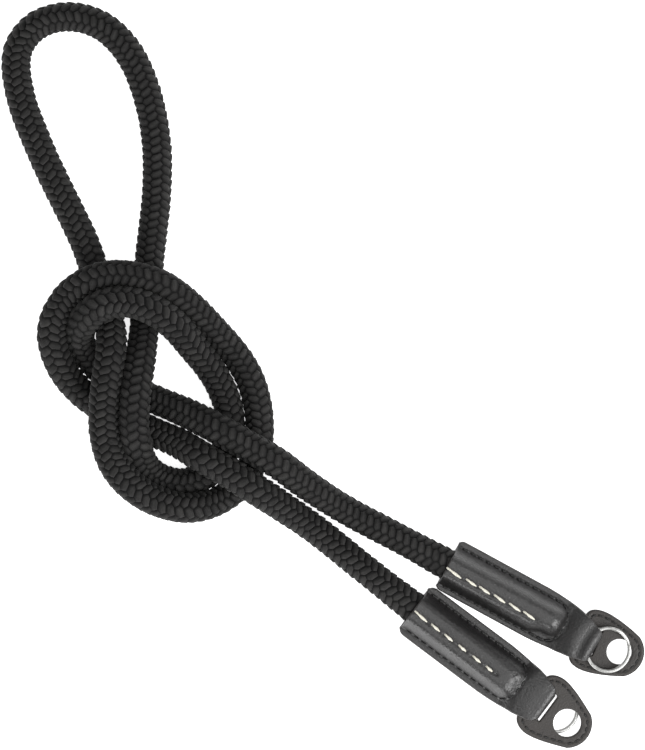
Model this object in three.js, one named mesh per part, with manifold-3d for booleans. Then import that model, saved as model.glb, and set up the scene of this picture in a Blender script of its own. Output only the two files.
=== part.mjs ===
// A braided rope camera strap, doubled and tied in one loose overhand knot.
// Each rope end is sewn into a folded leather strip that holds a split ring and a ring guard.
// Millimetres, +Z up. The strap lies flat on the plane z = 0.
import * as THREE from 'three';
import { mergeVertices } from 'three/addons/utils/BufferGeometryUtils.js';
import Module from 'manifold-3d';

const wasm = await Module();
wasm.setup();

// Driving dimensions.
const GAP = 0.25;             // clearance between pieces that touch
const ROPE_RADIUS = 4.7;
const ROPE_SIDES = 10;
const ROPE_DEPTH = 36;        // length of rope inside a leather end
const ROPE_SQUEEZE = 0.76;    // how flat the sewn leather presses the rope
const ROPE_SPREAD = 1.08;     // how much wider the pressed rope gets
const LEATHER = 1.2;          // one layer of the folded strip
const END_LENGTH = 56.75;     // mouth to fold
const GUARD_THICKNESS = 2.0;
const GUARD_END_RADIUS = 8.6;
const GUARD_HALF_WIDTH = 10.6;
const GUARD_BACK_HALF_WIDTH = 8.4;
const GUARD_BACK = 7.4;       // slit to back edge
const SLIT_TO_HOLE = 8.0;
const SLIT = { width: 3.4, length: 13.9 };
const RING_RADIUS = 7.2;      // to the middle of the wire
const WIRE = { radial: 1.2, axial: 0.98, pitch: 1.1 };
const RING_HEIGHT = WIRE.pitch + WIRE.axial;
const RING_CRANK = THREE.MathUtils.degToRad(30);  // half the angle of the step between the turns

// Heights worked out from the sizes above.
const ROPE_HALF_HEIGHT = ROPE_RADIUS * ROPE_SQUEEZE;
const ROPE_HALF_WIDTH = ROPE_RADIUS * ROPE_SPREAD;
const ROPE_AXIS_IN_END = LEATHER + GAP + ROPE_HALF_HEIGHT;
const FLAT = 2 * LEATHER;

// Where the leather ends lie, and how the ring and the guard sit in each fold.
// tilt leans both down to the floor, from a pivot along the end and above the floor.
const ENDS = [
  {
    tag: 'a', mouth: [-24.8, 27.4], turn: -28.6, ringOnTop: true,
    pivot: { along: 51.65, height: 1.85 }, tilt: 4.9,
    ring: { along: 60.9, across: 0.9, turn: 70 },
    guard: { along: 56.3, across: 1.15, turn: 6, holeRadius: 4.35 },
  },
  {
    tag: 'b', mouth: [-36.1, 12.7], turn: -36.8, ringOnTop: false,
    pivot: { along: 51.65, height: 1.55 }, tilt: 5.5,
    ring: { along: 59.5, across: 0.8, turn: 200 },
    guard: { along: 56.4, across: -0.5, turn: 0, holeRadius: 4.7 },
  },
];

// The rope's route, a row of x, y, z for each point, in the order that the rope is threaded.
// From end a: over the right-hand arcs, then under the upright strands.
const STRAIGHT_FROM_A = [
  [-59.8, 46.2, 5.4], [-73.4, 54.8, 10.0], [-82.4, 61.6, 13.8], [-92.0, 67.4, 14.8],
  [-101.4, 73.0, 14.4], [-112.8, 78.8, 9.5], [-124.4, 83.6, 5.0], [-135.6, 89.0, 4.9],
];
// Up the left side, over the top of the knot, down the right side and round the bottom.
const INNER_TURN = [
  [-143.4, 95.8, 4.9], [-147.4, 100.4, 6.6], [-149.3, 105.6, 10.0], [-147.2, 110.8, 14.4],
  [-141.2, 115.4, 17.6], [-133.6, 116.4, 18.0], [-125.8, 114.4, 17.6], [-118.6, 109.2, 15.2],
  [-111.4, 101.0, 10.4], [-104.4, 91.7, 6.0], [-99.7, 82.1, 4.9], [-98.8, 72.6, 4.9],
  [-101.8, 63.4, 4.9], [-107.8, 57.6, 4.9], [-115.2, 55.2, 4.9], [-123.4, 57.4, 5.4],
];
// The right-hand upright strand, the large loop and the left-hand upright strand.
const TOP_LOOP = [
  [-128.0, 62.4, 8.4], [-130.2, 68.2, 12.8], [-131.0, 75.2, 15.0], [-130.4, 85.4, 15.2],
  [-129.0, 96.2, 12.0], [-127.8, 107.6, 6.0], [-126.6, 119.8, 4.9], [-125.2, 134.0, 4.9],
  [-123.6, 152.6, 4.9], [-123.8, 169.4, 4.9], [-126.8, 186.4, 4.9], [-132.4, 201.0, 4.9],
  [-141.6, 210.0, 4.9], [-153.2, 213.0, 4.9], [-164.0, 210.0, 4.9], [-170.4, 201.6, 4.9],
  [-170.0, 188.0, 4.9], [-162.8, 167.8, 4.9], [-146.6, 134.0, 4.9], [-143.0, 121.2, 5.0],
  [-140.0, 112.4, 6.4], [-139.1, 106.4, 9.8], [-139.2, 99.8, 13.6], [-140.6, 90.8, 14.9],
];
// Round the bottom again, up the right side, over the top and down the left side.
const OUTER_TURN = [
  [-141.4, 80.6, 14.8], [-141.2, 71.6, 14.2], [-138.2, 61.8, 13.2], [-131.8, 54.0, 12.6],
  [-123.0, 48.8, 11.6], [-113.2, 46.6, 10.0], [-103.2, 48.8, 6.0], [-95.4, 55.0, 4.9],
  [-90.2, 64.0, 4.9], [-88.8, 76.0, 4.9], [-91.5, 89.2, 4.9], [-96.4, 98.0, 5.0],
  [-103.8, 107.0, 7.0], [-112.2, 115.6, 10.6], [-121.4, 122.2, 14.0], [-130.2, 125.0, 14.8],
  [-139.0, 125.6, 14.8], [-147.0, 123.2, 14.2], [-154.0, 117.8, 12.0], [-158.9, 108.0, 11.2],
  [-157.4, 98.6, 9.6], [-152.0, 89.0, 6.6],
];
// Under the upright strands, over the right-hand arcs, to end b.
const STRAIGHT_TO_B = [
  [-143.6, 81.8, 4.9], [-135.6, 78.2, 4.9], [-125.8, 73.0, 5.2], [-116.2, 68.6, 8.8],
  [-107.4, 63.8, 14.2], [-99.4, 59.2, 14.8], [-91.2, 54.2, 14.0], [-81.8, 48.0, 9.5],
  [-71.0, 40.0, 5.2],
];
// Rope inside a leather end, at its mouth and just outside it, as distances from the mouth.
const ROPE_STATIONS = [ROPE_DEPTH, 2, -18];

// A leather end, one row for each section from the mouth to the fold: its half-width,
// the height of its flat part, and the share of the raised panel over the rope.
const SECTIONS = [
  { at: 0.0, half: 8.5, flat: FLAT, panel: 1 },
  { at: 0.9, half: 9.2, flat: FLAT, panel: 1 },
  { at: 6.0, half: 9.25, flat: FLAT, panel: 1 },
  { at: 34.0, half: 9.25, flat: FLAT, panel: 1 },
  { at: 37.8, half: 9.1, flat: FLAT, panel: 1 },
  { at: 39.6, half: 9.0, flat: FLAT, panel: 0.84 },
  { at: 41.2, half: 8.9, flat: FLAT, panel: 0.4 },
  { at: 42.6, half: 8.7, flat: FLAT, panel: 0 },
  { at: 44.9, half: 8.5, flat: 3.1, panel: 0 },
  { at: 46.5, half: 8.3, flat: 5.6, panel: 0 },
  { at: 48.1, half: 8.0, flat: 7.4, panel: 0 },
  { at: 49.5, half: 7.7, flat: 7.8, panel: 0 },
  { at: 52.2, half: 7.1, flat: 7.8, panel: 0 },
  { at: 54.2, half: 6.3, flat: 7.8, panel: 0 },
  { at: 55.6, half: 5.8, flat: 7.4, panel: 0 },
  { at: 56.4, half: 5.5, flat: 6.5, panel: 0 },
  { at: END_LENGTH, half: 5.4, flat: 5.2, panel: 0 },
];
// Columns across a section, as shares of its half-width.
const COLUMNS = [-1, -0.77, -0.645, -0.54, -0.44, -0.32, -0.2, -0.09, 0,
  0.09, 0.2, 0.32, 0.44, 0.54, 0.645, 0.77, 1];
const PANEL_VALLEY = 0.4;     // dent along the middle of the panel, where thread holds the rope

const materials = {
  rope: { color: 0x2b2a2a, roughness: 0.85, metalness: 0 },
  leather: { color: 0x1b1a1a, roughness: 0.42, metalness: 0 },
  guard: { color: 0x2b2826, roughness: 0.6, metalness: 0 },
  steel: { color: 0xb8babc, roughness: 0.25, metalness: 1 },
};

const radians = THREE.MathUtils.degToRad;

function makeMesh(name, geometry, material) {
  const mesh = new THREE.Mesh(geometry, new THREE.MeshStandardMaterial(materials[material]));
  mesh.name = name;
  return mesh;
}

function toManifold(geometry) {
  const bare = geometry.clone();
  bare.deleteAttribute('normal');
  bare.deleteAttribute('uv');
  const merged = mergeVertices(bare, 1e-4);
  return new wasm.Manifold(new wasm.Mesh({
    numProp: 3,
    vertProperties: new Float32Array(merged.attributes.position.array),
    triVerts: new Uint32Array(merged.index.array),
  }));
}

function toGeometry(manifold) {
  const mesh = manifold.getMesh();
  const geometry = new THREE.BufferGeometry();
  geometry.setAttribute('position', new THREE.BufferAttribute(mesh.vertProperties, 3));
  geometry.setIndex(new THREE.BufferAttribute(mesh.triVerts, 1));
  geometry.computeVertexNormals();
  return geometry;
}

function ellipse(halfWidth, halfHeight, sides) {
  const corner = (k) => {
    const angle = (2 * Math.PI * k) / sides;
    return new THREE.Vector2(halfWidth * Math.cos(angle), halfHeight * Math.sin(angle));
  };
  return new THREE.Shape(Array.from({ length: sides }, (_, k) => corner(k)));
}

// A point on the rope's axis at a distance inside the mouth of an end.
function ropePoint(end, inside) {
  const angle = radians(end.turn);
  return new THREE.Vector3(
    end.mouth[0] + inside * Math.cos(angle),
    end.mouth[1] + inside * Math.sin(angle),
    ROPE_AXIS_IN_END,
  );
}

// A smooth curve whose extrusion steps fall on its own points: close in the bends, far apart
// on the straights.
class RopeRoute extends THREE.CatmullRomCurve3 {
  getUtoTmapping(u) {
    return u;
  }
}

// Presses the rope flat where it lies inside an end, and eases it round again outside the mouth.
function pressRope(geometry, end) {
  const tip = ropePoint(end, ROPE_DEPTH);
  const inward = tip.clone().sub(ropePoint(end, 0)).normalize();
  const sideways = new THREE.Vector3(-inward.y, inward.x, 0);
  const [, mouth, outside] = ROPE_STATIONS;
  const place = geometry.attributes.position;
  for (let k = 0; k < place.count; k += 1) {
    const point = new THREE.Vector3().fromBufferAttribute(place, k);
    const offset = point.clone().sub(tip);
    const across = offset.dot(sideways);
    if (Math.abs(across) > 2 * ROPE_RADIUS || offset.length() > ROPE_DEPTH - outside - 1) continue;
    const inside = ROPE_DEPTH + offset.dot(inward);
    const pressed = THREE.MathUtils.clamp((inside - outside) / (mouth - outside), 0, 1);
    const squeeze = THREE.MathUtils.lerp(1, ROPE_SQUEEZE, pressed);
    const spread = THREE.MathUtils.lerp(1, ROPE_SPREAD, pressed);
    point.addScaledVector(sideways, across * (spread - 1));
    point.z = ROPE_AXIS_IN_END + (point.z - ROPE_AXIS_IN_END) * squeeze;
    place.setXYZ(k, point.x, point.y, point.z);
  }
}

function makeRope() {
  const [endA, endB] = ENDS;
  const knot = [STRAIGHT_FROM_A, INNER_TURN, TOP_LOOP, OUTER_TURN, STRAIGHT_TO_B].flat();
  const points = [
    ...ROPE_STATIONS.map((inside) => ropePoint(endA, inside)),
    ...knot.map((row) => new THREE.Vector3(...row)),
    ...ROPE_STATIONS.map((inside) => ropePoint(endB, inside)).reverse(),
  ];
  const geometry = new THREE.ExtrudeGeometry(ellipse(ROPE_RADIUS, ROPE_RADIUS, ROPE_SIDES), {
    steps: points.length - 1,
    extrudePath: new RopeRoute(points),
  });
  ENDS.forEach((end) => pressRope(geometry, end));
  return makeMesh('rope', geometry, 'rope');
}

// Height of a leather end's upper face at a distance across one of its sections.
function faceHeight(section, across) {
  const half = { width: ROPE_HALF_WIDTH + 0.1 + GAP + LEATHER, height: ROPE_AXIS_IN_END };
  const reach = Math.abs(across) / half.width;
  if (reach > 0.95) return section.flat;
  const valley = across === 0 ? PANEL_VALLEY : 0;
  const panelTop = ROPE_AXIS_IN_END + half.height * Math.sqrt(1 - reach * reach) - valley;
  return section.flat + section.panel * (panelTop - section.flat);
}

// The folded strip as one block: an upper face from the sections, closed down to the floor.
function leatherBlock() {
  const rows = SECTIONS.length;
  const columns = COLUMNS.length;
  const points = [];
  SECTIONS.forEach((section) => COLUMNS.forEach((share) => {
    const across = share * section.half;
    points.push(section.at, across, faceHeight(section, across));
  }));
  const upper = (row, column) => row * columns + column;
  const rim = [
    ...SECTIONS.map((_, row) => upper(row, 0)),
    ...COLUMNS.slice(1, -1).map((_, k) => upper(rows - 1, k + 1)),
    ...SECTIONS.map((_, row) => upper(rows - 1 - row, columns - 1)),
    ...COLUMNS.slice(1, -1).map((_, k) => upper(0, columns - 2 - k)),
  ];
  const floor = rows * columns;
  const outline = rim.map((k) => new THREE.Vector2(points[3 * k], points[3 * k + 1]));
  outline.forEach((corner) => points.push(corner.x, corner.y, 0));
  const faces = [];
  for (let row = 0; row < rows - 1; row += 1) {
    for (let column = 0; column < columns - 1; column += 1) {
      const [a, b] = [upper(row, column), upper(row + 1, column)];
      faces.push(a, b, b + 1, a, b + 1, a + 1);
    }
  }
  rim.forEach((top, k) => {
    const next = (k + 1) % rim.length;
    faces.push(top, floor + k, floor + next, top, floor + next, rim[next]);
  });
  THREE.ShapeUtils.triangulateShape(outline, []).forEach(([a, b, c]) => {
    faces.push(floor + a, floor + c, floor + b);
  });
  const geometry = new THREE.BufferGeometry();
  geometry.setAttribute('position', new THREE.Float32BufferAttribute(points, 3));
  geometry.setIndex(faces);
  return geometry;
}

// The bore that the pressed rope fills.
function ropeBore() {
  const section = ellipse(ROPE_HALF_WIDTH + GAP + 0.1, ROPE_HALF_HEIGHT + GAP, 24);
  const bore = new THREE.ExtrudeGeometry(section, { depth: ROPE_DEPTH + GAP + 2, bevelEnabled: false });
  bore.rotateX(Math.PI / 2);
  bore.rotateZ(Math.PI / 2);
  return bore.translate(-2, 0, ROPE_AXIS_IN_END);
}

// The space inside the fold, open on both sides, for the ring and the guard's back.
function foldSlot() {
  const wall = END_LENGTH - LEATHER;
  const top = 7.8 - LEATHER;
  const profile = new THREE.Shape();
  profile.moveTo(46.0, LEATHER);
  profile.lineTo(wall - 0.6, LEATHER);
  profile.lineTo(wall, LEATHER + 0.6);
  profile.lineTo(wall, top - 1.4);
  profile.lineTo(wall - 1.2, top);
  profile.lineTo(49.3, top);
  profile.lineTo(47.6, top - 1.4);
  profile.lineTo(46.0, 2.7);
  profile.closePath();
  const slot = new THREE.ExtrudeGeometry(profile, { depth: 30, bevelEnabled: false });
  slot.rotateX(Math.PI / 2);
  return slot.translate(0, 15, 0);
}

// The room that the ring takes where it presses into the fold.
function ringRoom() {
  const inner = RING_RADIUS - WIRE.radial / 2 - GAP;
  const outer = RING_RADIUS + WIRE.radial / 2 + GAP;
  const section = [
    [inner, -GAP], [outer, -GAP], [outer, RING_HEIGHT + GAP], [inner, RING_HEIGHT + GAP], [inner, -GAP],
  ];
  const room = new THREE.LatheGeometry(section.map((corner) => new THREE.Vector2(...corner)), 40);
  return room.rotateX(Math.PI / 2);
}

function leatherEnd(ringPlace) {
  const cut = [ropeBore(), foldSlot(), ringRoom().applyMatrix4(ringPlace)];
  const solid = cut.reduce((left, tool) => left.subtract(toManifold(tool)), toManifold(leatherBlock()));
  return toGeometry(solid);
}

// A pear-shaped leather plate with a round hole, and a slit that the folded strip passes through.
// Its origin is the middle of the slit.
function guardPlate(holeRadius) {
  const flank = Math.acos((GUARD_HALF_WIDTH - GUARD_END_RADIUS) / (SLIT_TO_HOLE + 2)) - 0.35;
  const start = {
    x: SLIT_TO_HOLE + GUARD_END_RADIUS * Math.cos(flank),
    y: GUARD_END_RADIUS * Math.sin(flank),
  };
  const plate = new THREE.Shape();
  plate.absarc(SLIT_TO_HOLE, 0, GUARD_END_RADIUS, -flank, flank, false);
  plate.bezierCurveTo(start.x - 3.5, start.y + 1.4, 2.5, GUARD_HALF_WIDTH, -1.5, GUARD_HALF_WIDTH);
  plate.bezierCurveTo(-4.5, GUARD_HALF_WIDTH, -GUARD_BACK, GUARD_BACK_HALF_WIDTH + 1,
    -GUARD_BACK, GUARD_BACK_HALF_WIDTH - 2);
  plate.lineTo(-GUARD_BACK, 2 - GUARD_BACK_HALF_WIDTH);
  plate.bezierCurveTo(-GUARD_BACK, -GUARD_BACK_HALF_WIDTH - 1, -4.5, -GUARD_HALF_WIDTH,
    -1.5, -GUARD_HALF_WIDTH);
  plate.bezierCurveTo(2.5, -GUARD_HALF_WIDTH, start.x - 3.5, -start.y - 1.4, start.x, -start.y);
  const hole = new THREE.Path();
  hole.absarc(SLIT_TO_HOLE, 0, holeRadius, 0, 2 * Math.PI, true);
  const slit = new THREE.Path();
  const [halfWidth, halfLength] = [SLIT.width / 2, SLIT.length / 2];
  slit.moveTo(-halfWidth, -halfLength);
  slit.lineTo(-halfWidth, halfLength);
  slit.lineTo(halfWidth, halfLength);
  slit.lineTo(halfWidth, -halfLength);
  slit.closePath();
  plate.holes.push(hole, slit);
  return new THREE.ExtrudeGeometry(plate, {
    depth: GUARD_THICKNESS, bevelEnabled: false, curveSegments: 10,
  });
}

// The wire of a split ring: a lower turn, a step up, and an upper turn.
class SplitRingWire extends THREE.Curve {
  getPoint(t, target = new THREE.Vector3()) {
    const angle = RING_CRANK + t * (4 * Math.PI - 2 * RING_CRANK);
    const step = THREE.MathUtils.smoothstep(angle, 2 * Math.PI - RING_CRANK, 2 * Math.PI + RING_CRANK);
    return target.set(
      RING_RADIUS * Math.cos(angle),
      RING_RADIUS * Math.sin(angle),
      WIRE.axial / 2 + WIRE.pitch * step,
    );
  }
}

function splitRing() {
  const [high, wide, round] = [WIRE.axial / 2, WIRE.radial / 2, 0.25];
  const section = new THREE.Shape([
    [high - round, -wide], [high, round - wide], [high, wide - round], [high - round, wide],
    [round - high, wide], [-high, wide - round], [-high, round - wide], [round - high, -wide],
  ].map((corner) => new THREE.Vector2(...corner)));
  return new THREE.ExtrudeGeometry(section, { steps: 56, extrudePath: new SplitRingWire() });
}

// One end: the folded leather, the guard and the ring, placed along the end from its mouth.
function makeEnd(end) {
  const group = new THREE.Group();
  group.position.set(end.mouth[0], end.mouth[1], 0);
  group.rotation.z = radians(end.turn);

  const hardware = new THREE.Group();
  hardware.position.set(end.pivot.along, 0, end.pivot.height);
  hardware.rotation.y = radians(end.tilt);
  group.add(hardware);

  const guard = makeMesh(`ring_guard_${end.tag}`, guardPlate(end.guard.holeRadius), 'guard');
  const guardHeight = end.ringOnTop ? 0 : RING_HEIGHT + GAP;
  guard.position.set(end.guard.along - end.pivot.along, end.guard.across, guardHeight);
  guard.rotation.z = radians(end.guard.turn);
  hardware.add(guard);

  const ring = makeMesh(`split_ring_${end.tag}`, splitRing(), 'steel');
  const ringHeight = end.ringOnTop ? GUARD_THICKNESS + GAP : 0;
  ring.position.set(end.ring.along - end.pivot.along, end.ring.across, ringHeight);
  ring.rotation.z = radians(end.ring.turn);
  hardware.add(ring);

  hardware.updateMatrix();
  ring.updateMatrix();
  const ringPlace = hardware.matrix.clone().multiply(ring.matrix);
  group.add(makeMesh(`leather_end_${end.tag}`, leatherEnd(ringPlace), 'leather'));
  return group;
}

const strap = new THREE.Group();
strap.add(makeRope(), ...ENDS.map(makeEnd));

export default strap;
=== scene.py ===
"""A braided rope camera strap, doubled and tied in one loose overhand knot, lying flat.

Each rope end is sewn into a folded leather strip that holds a split ring and a leather ring guard.
The rope is in metres. The leather ends are worked out in millimetres, each in its own frame: u runs
from the mouth to the fold, v to the left of it and w up.
"""

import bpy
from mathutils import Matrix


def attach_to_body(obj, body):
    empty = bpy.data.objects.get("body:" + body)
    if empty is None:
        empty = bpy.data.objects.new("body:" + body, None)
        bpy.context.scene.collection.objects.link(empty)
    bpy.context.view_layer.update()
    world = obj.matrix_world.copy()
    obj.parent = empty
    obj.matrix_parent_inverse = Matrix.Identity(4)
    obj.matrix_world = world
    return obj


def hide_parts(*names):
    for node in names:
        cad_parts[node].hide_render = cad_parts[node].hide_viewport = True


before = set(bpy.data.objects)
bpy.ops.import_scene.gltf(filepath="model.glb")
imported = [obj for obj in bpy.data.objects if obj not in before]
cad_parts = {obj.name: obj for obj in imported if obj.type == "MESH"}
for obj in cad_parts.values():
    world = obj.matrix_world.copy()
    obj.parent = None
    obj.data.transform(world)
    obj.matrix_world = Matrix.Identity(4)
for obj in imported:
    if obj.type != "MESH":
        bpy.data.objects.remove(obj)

import logging
import math
from dataclasses import dataclass, field
from enum import Enum
from typing import Any, Iterable, Sequence

import bpy
import numpy as np
from mathutils import Matrix, Vector
from mathutils.geometry import tessellate_polygon

Array = np.ndarray
Socket = bpy.types.NodeSocket
Rgb = tuple[float, float, float]

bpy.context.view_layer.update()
LOG = logging.getLogger("strap")
MM = 0.001
SEED = 7
# A bell too narrow to blur anything, and how many numbers the rope's stitches share.
NO_BLUR = 1e-3
STITCH_NUMBERS = 65521
# How a cut rim of leather is rounded: the steps round it, in degrees, and how far it bulges.
RIM_STEPS = (35.0, 65.0, 90.0, 115.0, 145.0)
RIM_BULGE = 0.7

# The rope's route between the two ends, in the order that it is threaded, in metres.
STRAIGHT_FROM_A = (
    (-0.0598, 0.0462, 0.0054), (-0.0733, 0.0550, 0.0100), (-0.0822, 0.0618, 0.0138),
    (-0.0919, 0.0676, 0.0148), (-0.1014, 0.0730, 0.0144), (-0.1128, 0.0788, 0.0095),
    (-0.1244, 0.0836, 0.0050), (-0.1360, 0.0884, 0.0049),
)
INNER_TURN = (
    (-0.1442, 0.0950, 0.0049), (-0.1479, 0.1000, 0.0066), (-0.1497, 0.1054, 0.0100),
    (-0.1472, 0.1108, 0.0144), (-0.1412, 0.1154, 0.0176), (-0.1336, 0.1164, 0.0180),
    (-0.1258, 0.1144, 0.0176), (-0.1183, 0.1094, 0.0152), (-0.1111, 0.1012, 0.0104),
    (-0.1041, 0.0918, 0.0060), (-0.0997, 0.0821, 0.0049), (-0.0988, 0.0726, 0.0049),
    (-0.1018, 0.0634, 0.0049), (-0.1078, 0.0576, 0.0049), (-0.1152, 0.0552, 0.0049),
    (-0.1234, 0.0574, 0.0054),
)
TOP_LOOP = (
    (-0.1282, 0.0622, 0.0084), (-0.1302, 0.0682, 0.0128), (-0.1310, 0.0752, 0.0150),
    (-0.1304, 0.0854, 0.0152), (-0.1290, 0.0962, 0.0120), (-0.1278, 0.1076, 0.0060),
    (-0.1271, 0.1198, 0.0049), (-0.1257, 0.1340, 0.0049), (-0.1237, 0.1526, 0.0049),
    (-0.1236, 0.1694, 0.0049), (-0.1267, 0.1864, 0.0049), (-0.1328, 0.2006, 0.0049),
    (-0.1418, 0.2098, 0.0049), (-0.1532, 0.2131, 0.0049), (-0.1642, 0.2102, 0.0049),
    (-0.1707, 0.2017, 0.0049), (-0.1701, 0.1879, 0.0049), (-0.1628, 0.1677, 0.0049),
    (-0.1469, 0.1339, 0.0049), (-0.1433, 0.1211, 0.0050), (-0.1400, 0.1124, 0.0064),
    (-0.1388, 0.1064, 0.0098), (-0.1386, 0.0998, 0.0136), (-0.1400, 0.0908, 0.0149),
)
OUTER_TURN = (
    (-0.1410, 0.0806, 0.0148), (-0.1408, 0.0717, 0.0142), (-0.1379, 0.0620, 0.0132),
    (-0.1316, 0.0543, 0.0126), (-0.1229, 0.0491, 0.0116), (-0.1132, 0.0469, 0.0100),
    (-0.1033, 0.0490, 0.0060), (-0.0954, 0.0550, 0.0049), (-0.0902, 0.0640, 0.0049),
    (-0.0888, 0.0760, 0.0049), (-0.0915, 0.0892, 0.0049), (-0.0964, 0.0980, 0.0050),
    (-0.1040, 0.1068, 0.0070), (-0.1124, 0.1153, 0.0106), (-0.1215, 0.1219, 0.0140),
    (-0.1302, 0.1247, 0.0148), (-0.1389, 0.1253, 0.0148), (-0.1468, 0.1229, 0.0142),
    (-0.1537, 0.1176, 0.0120), (-0.1585, 0.1080, 0.0112), (-0.1574, 0.0986, 0.0096),
    (-0.1520, 0.0890, 0.0066),
)
STRAIGHT_TO_B = (
    (-0.1436, 0.0818, 0.0049), (-0.1356, 0.0782, 0.0049), (-0.1258, 0.0730, 0.0052),
    (-0.1161, 0.0688, 0.0088), (-0.1074, 0.0638, 0.0142), (-0.0994, 0.0592, 0.0148),
    (-0.0913, 0.0541, 0.0140), (-0.0818, 0.0479, 0.0095), (-0.0708, 0.0402, 0.0052),
)
# Rope inside an end, at its mouth and outside it, as millimetres inwards from the mouth.
ROPE_STATIONS = (36.0, 2.0, -18.0)
ROPE_AXIS_IN_END = 4.7


class Stack(Enum):
    """Which of the two pieces in a fold lies on the other."""

    RING_OVER_GUARD = "ring over guard"
    RING_UNDER_GUARD = "ring under guard"


class Slot(Enum):
    """The material slots, by name."""

    ROPE = "rope"
    LEATHER = "leather"
    GUARD = "guard_leather"
    STEEL = "steel"


def unit(vectors: Array) -> Array:
    """Vectors of length one.

    Args:
        vectors: Rows of vectors.

    Returns:
        The same rows, each divided by its length.
    """
    lengths = np.linalg.norm(vectors, axis=-1, keepdims=True)
    return vectors / np.maximum(lengths, 1e-12)


def smoothstep(share: Array) -> Array:
    """An ease from zero to one that is level at both ends."""
    return share * share * (3 - 2 * share)


def reaches(points: Array) -> Array:
    """How far along a line each of its points lies."""
    return np.concatenate([[0.0], np.cumsum(np.linalg.norm(np.diff(points, axis=0), axis=1))])


def sampled(points: Array, reach: Array, at: Array) -> Array:
    """Points of a line at some distances along it.

    Args:
        points: The line's own points.
        reach: How far along it they lie.
        at: The distances wanted.

    Returns:
        A point for each distance.
    """
    return np.stack([np.interp(at, reach, column) for column in points.T], -1)


def blurred(grid: Array, rows: float, columns: float) -> Array:
    """A grid of numbers smoothed by a bell curve.

    Args:
        grid: A table of numbers.
        rows: The bell's width down the rows, in cells.
        columns: The bell's width along the columns, in cells.

    Returns:
        A smoothed table of the same size.
    """
    for axis, width in ((0, rows), (1, columns)):
        reach = int(3 * width) + 1
        bell = np.exp(-0.5 * (np.arange(-reach, reach + 1) / width) ** 2)
        pads = [(reach, reach) if side == axis else (0, 0) for side in (0, 1)]
        padded = np.pad(grid, pads, mode="edge")
        grid = np.apply_along_axis(np.convolve, axis, padded, bell / bell.sum(), mode="valid")
    return grid


def lumps(shape: tuple[int, int], rows: float, columns: float, seed: int) -> Array:
    """Smooth random lumps about one high.

    Args:
        shape: The table's size.
        rows: The lumps' size down the rows, in cells.
        columns: The lumps' size along the columns, in cells.
        seed: Fixes the draw.

    Returns:
        A table of numbers with a spread of one.
    """
    soft = blurred(np.random.default_rng(seed).normal(size=shape), rows, columns)
    return (soft - soft.mean()) / soft.std()


def moved(points: Array, matrix: Matrix) -> Array:
    """Points taken from a local frame in millimetres to the row frame in metres.

    Args:
        points: Rows of local x, y, z in millimetres.
        matrix: The local frame's place, in millimetres.

    Returns:
        Rows of x, y, z in metres.
    """
    turn = np.array(matrix.to_3x3())
    return (np.asarray(points) @ turn.T + np.array(matrix.translation)) * MM


def turned(vectors: Array, matrix: Matrix) -> Array:
    """Directions taken from a local frame to the row frame."""
    return np.asarray(vectors) @ np.array(matrix.to_3x3()).T


def linked(name: str, data: bpy.types.ID) -> bpy.types.Object:
    """A new object, linked to the scene.

    Args:
        name: The object's name.
        data: Its mesh, light or camera.

    Returns:
        The object.
    """
    item = bpy.data.objects.new(name, data)
    bpy.context.scene.collection.objects.link(item)
    return item


def make_piece(name: str, vertices: Array, faces: Sequence[Sequence[int]]) -> bpy.types.Object:
    """A smooth mesh object at the origin.

    Args:
        name: The piece's name.
        vertices: Rows of x, y, z in metres.
        faces: Corner numbers of each face.

    Returns:
        The new object, linked to the scene.
    """
    mesh = bpy.data.meshes.new(name)
    mesh.from_pydata(np.asarray(vertices).tolist(), [], [list(face) for face in faces])
    mesh.shade_smooth()
    return linked(name, mesh)


def store(mesh: bpy.types.Mesh, name: str, kind: str, domain: str, values: Array) -> None:
    """Stores an attribute on a mesh.

    Args:
        mesh: The mesh.
        name: The attribute's name.
        kind: Blender's data type, such as FLOAT.
        domain: POINT, EDGE or FACE.
        values: One value or vector for each element.
    """
    attribute = mesh.attributes.new(name, kind, domain)
    key = "vector" if kind == "FLOAT_VECTOR" else "value"
    attribute.data.foreach_set(key, np.asarray(values).ravel())


def attach(piece: bpy.types.Object, material: bpy.types.Material,
           node: str | None = None) -> bpy.types.Object:
    """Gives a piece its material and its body.

    Args:
        piece: The finished piece.
        material: Its material.
        node: The CAD node that it stands for, if any.

    Returns:
        The same piece.
    """
    piece.data.materials.clear()
    piece.data.materials.append(material)
    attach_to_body(piece, "root")
    if node:
        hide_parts(node)
    triangles = sum(len(face.vertices) - 2 for face in piece.data.polygons)
    LOG.info("%s: %d triangles", piece.name, triangles)
    return piece


def put(tree: bpy.types.NodeTree, kind: str, inputs: dict[str | int, Any] | None = None,
        **settings: Any) -> bpy.types.Node:
    """Adds a node, sets it and links it.

    Args:
        tree: The node tree.
        kind: The node's type.
        inputs: For each input, a socket to link from or a value to set.
        settings: The node's own properties.

    Returns:
        The new node.
    """
    node = tree.nodes.new(kind)
    for name, value in settings.items():
        setattr(node, name, value)
    for key, value in (inputs or {}).items():
        if isinstance(value, bpy.types.NodeSocket):
            tree.links.new(value, node.inputs[key])
        else:
            node.inputs[key].default_value = value
    return node


def maths(tree: bpy.types.NodeTree, how: str, *values: Any) -> Socket:
    """One step of arithmetic.

    Args:
        tree: The node tree.
        how: The Math node's operation.
        values: Sockets or numbers.

    Returns:
        The result's socket.
    """
    return put(tree, "ShaderNodeMath", dict(enumerate(values)), operation=how).outputs[0]


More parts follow.
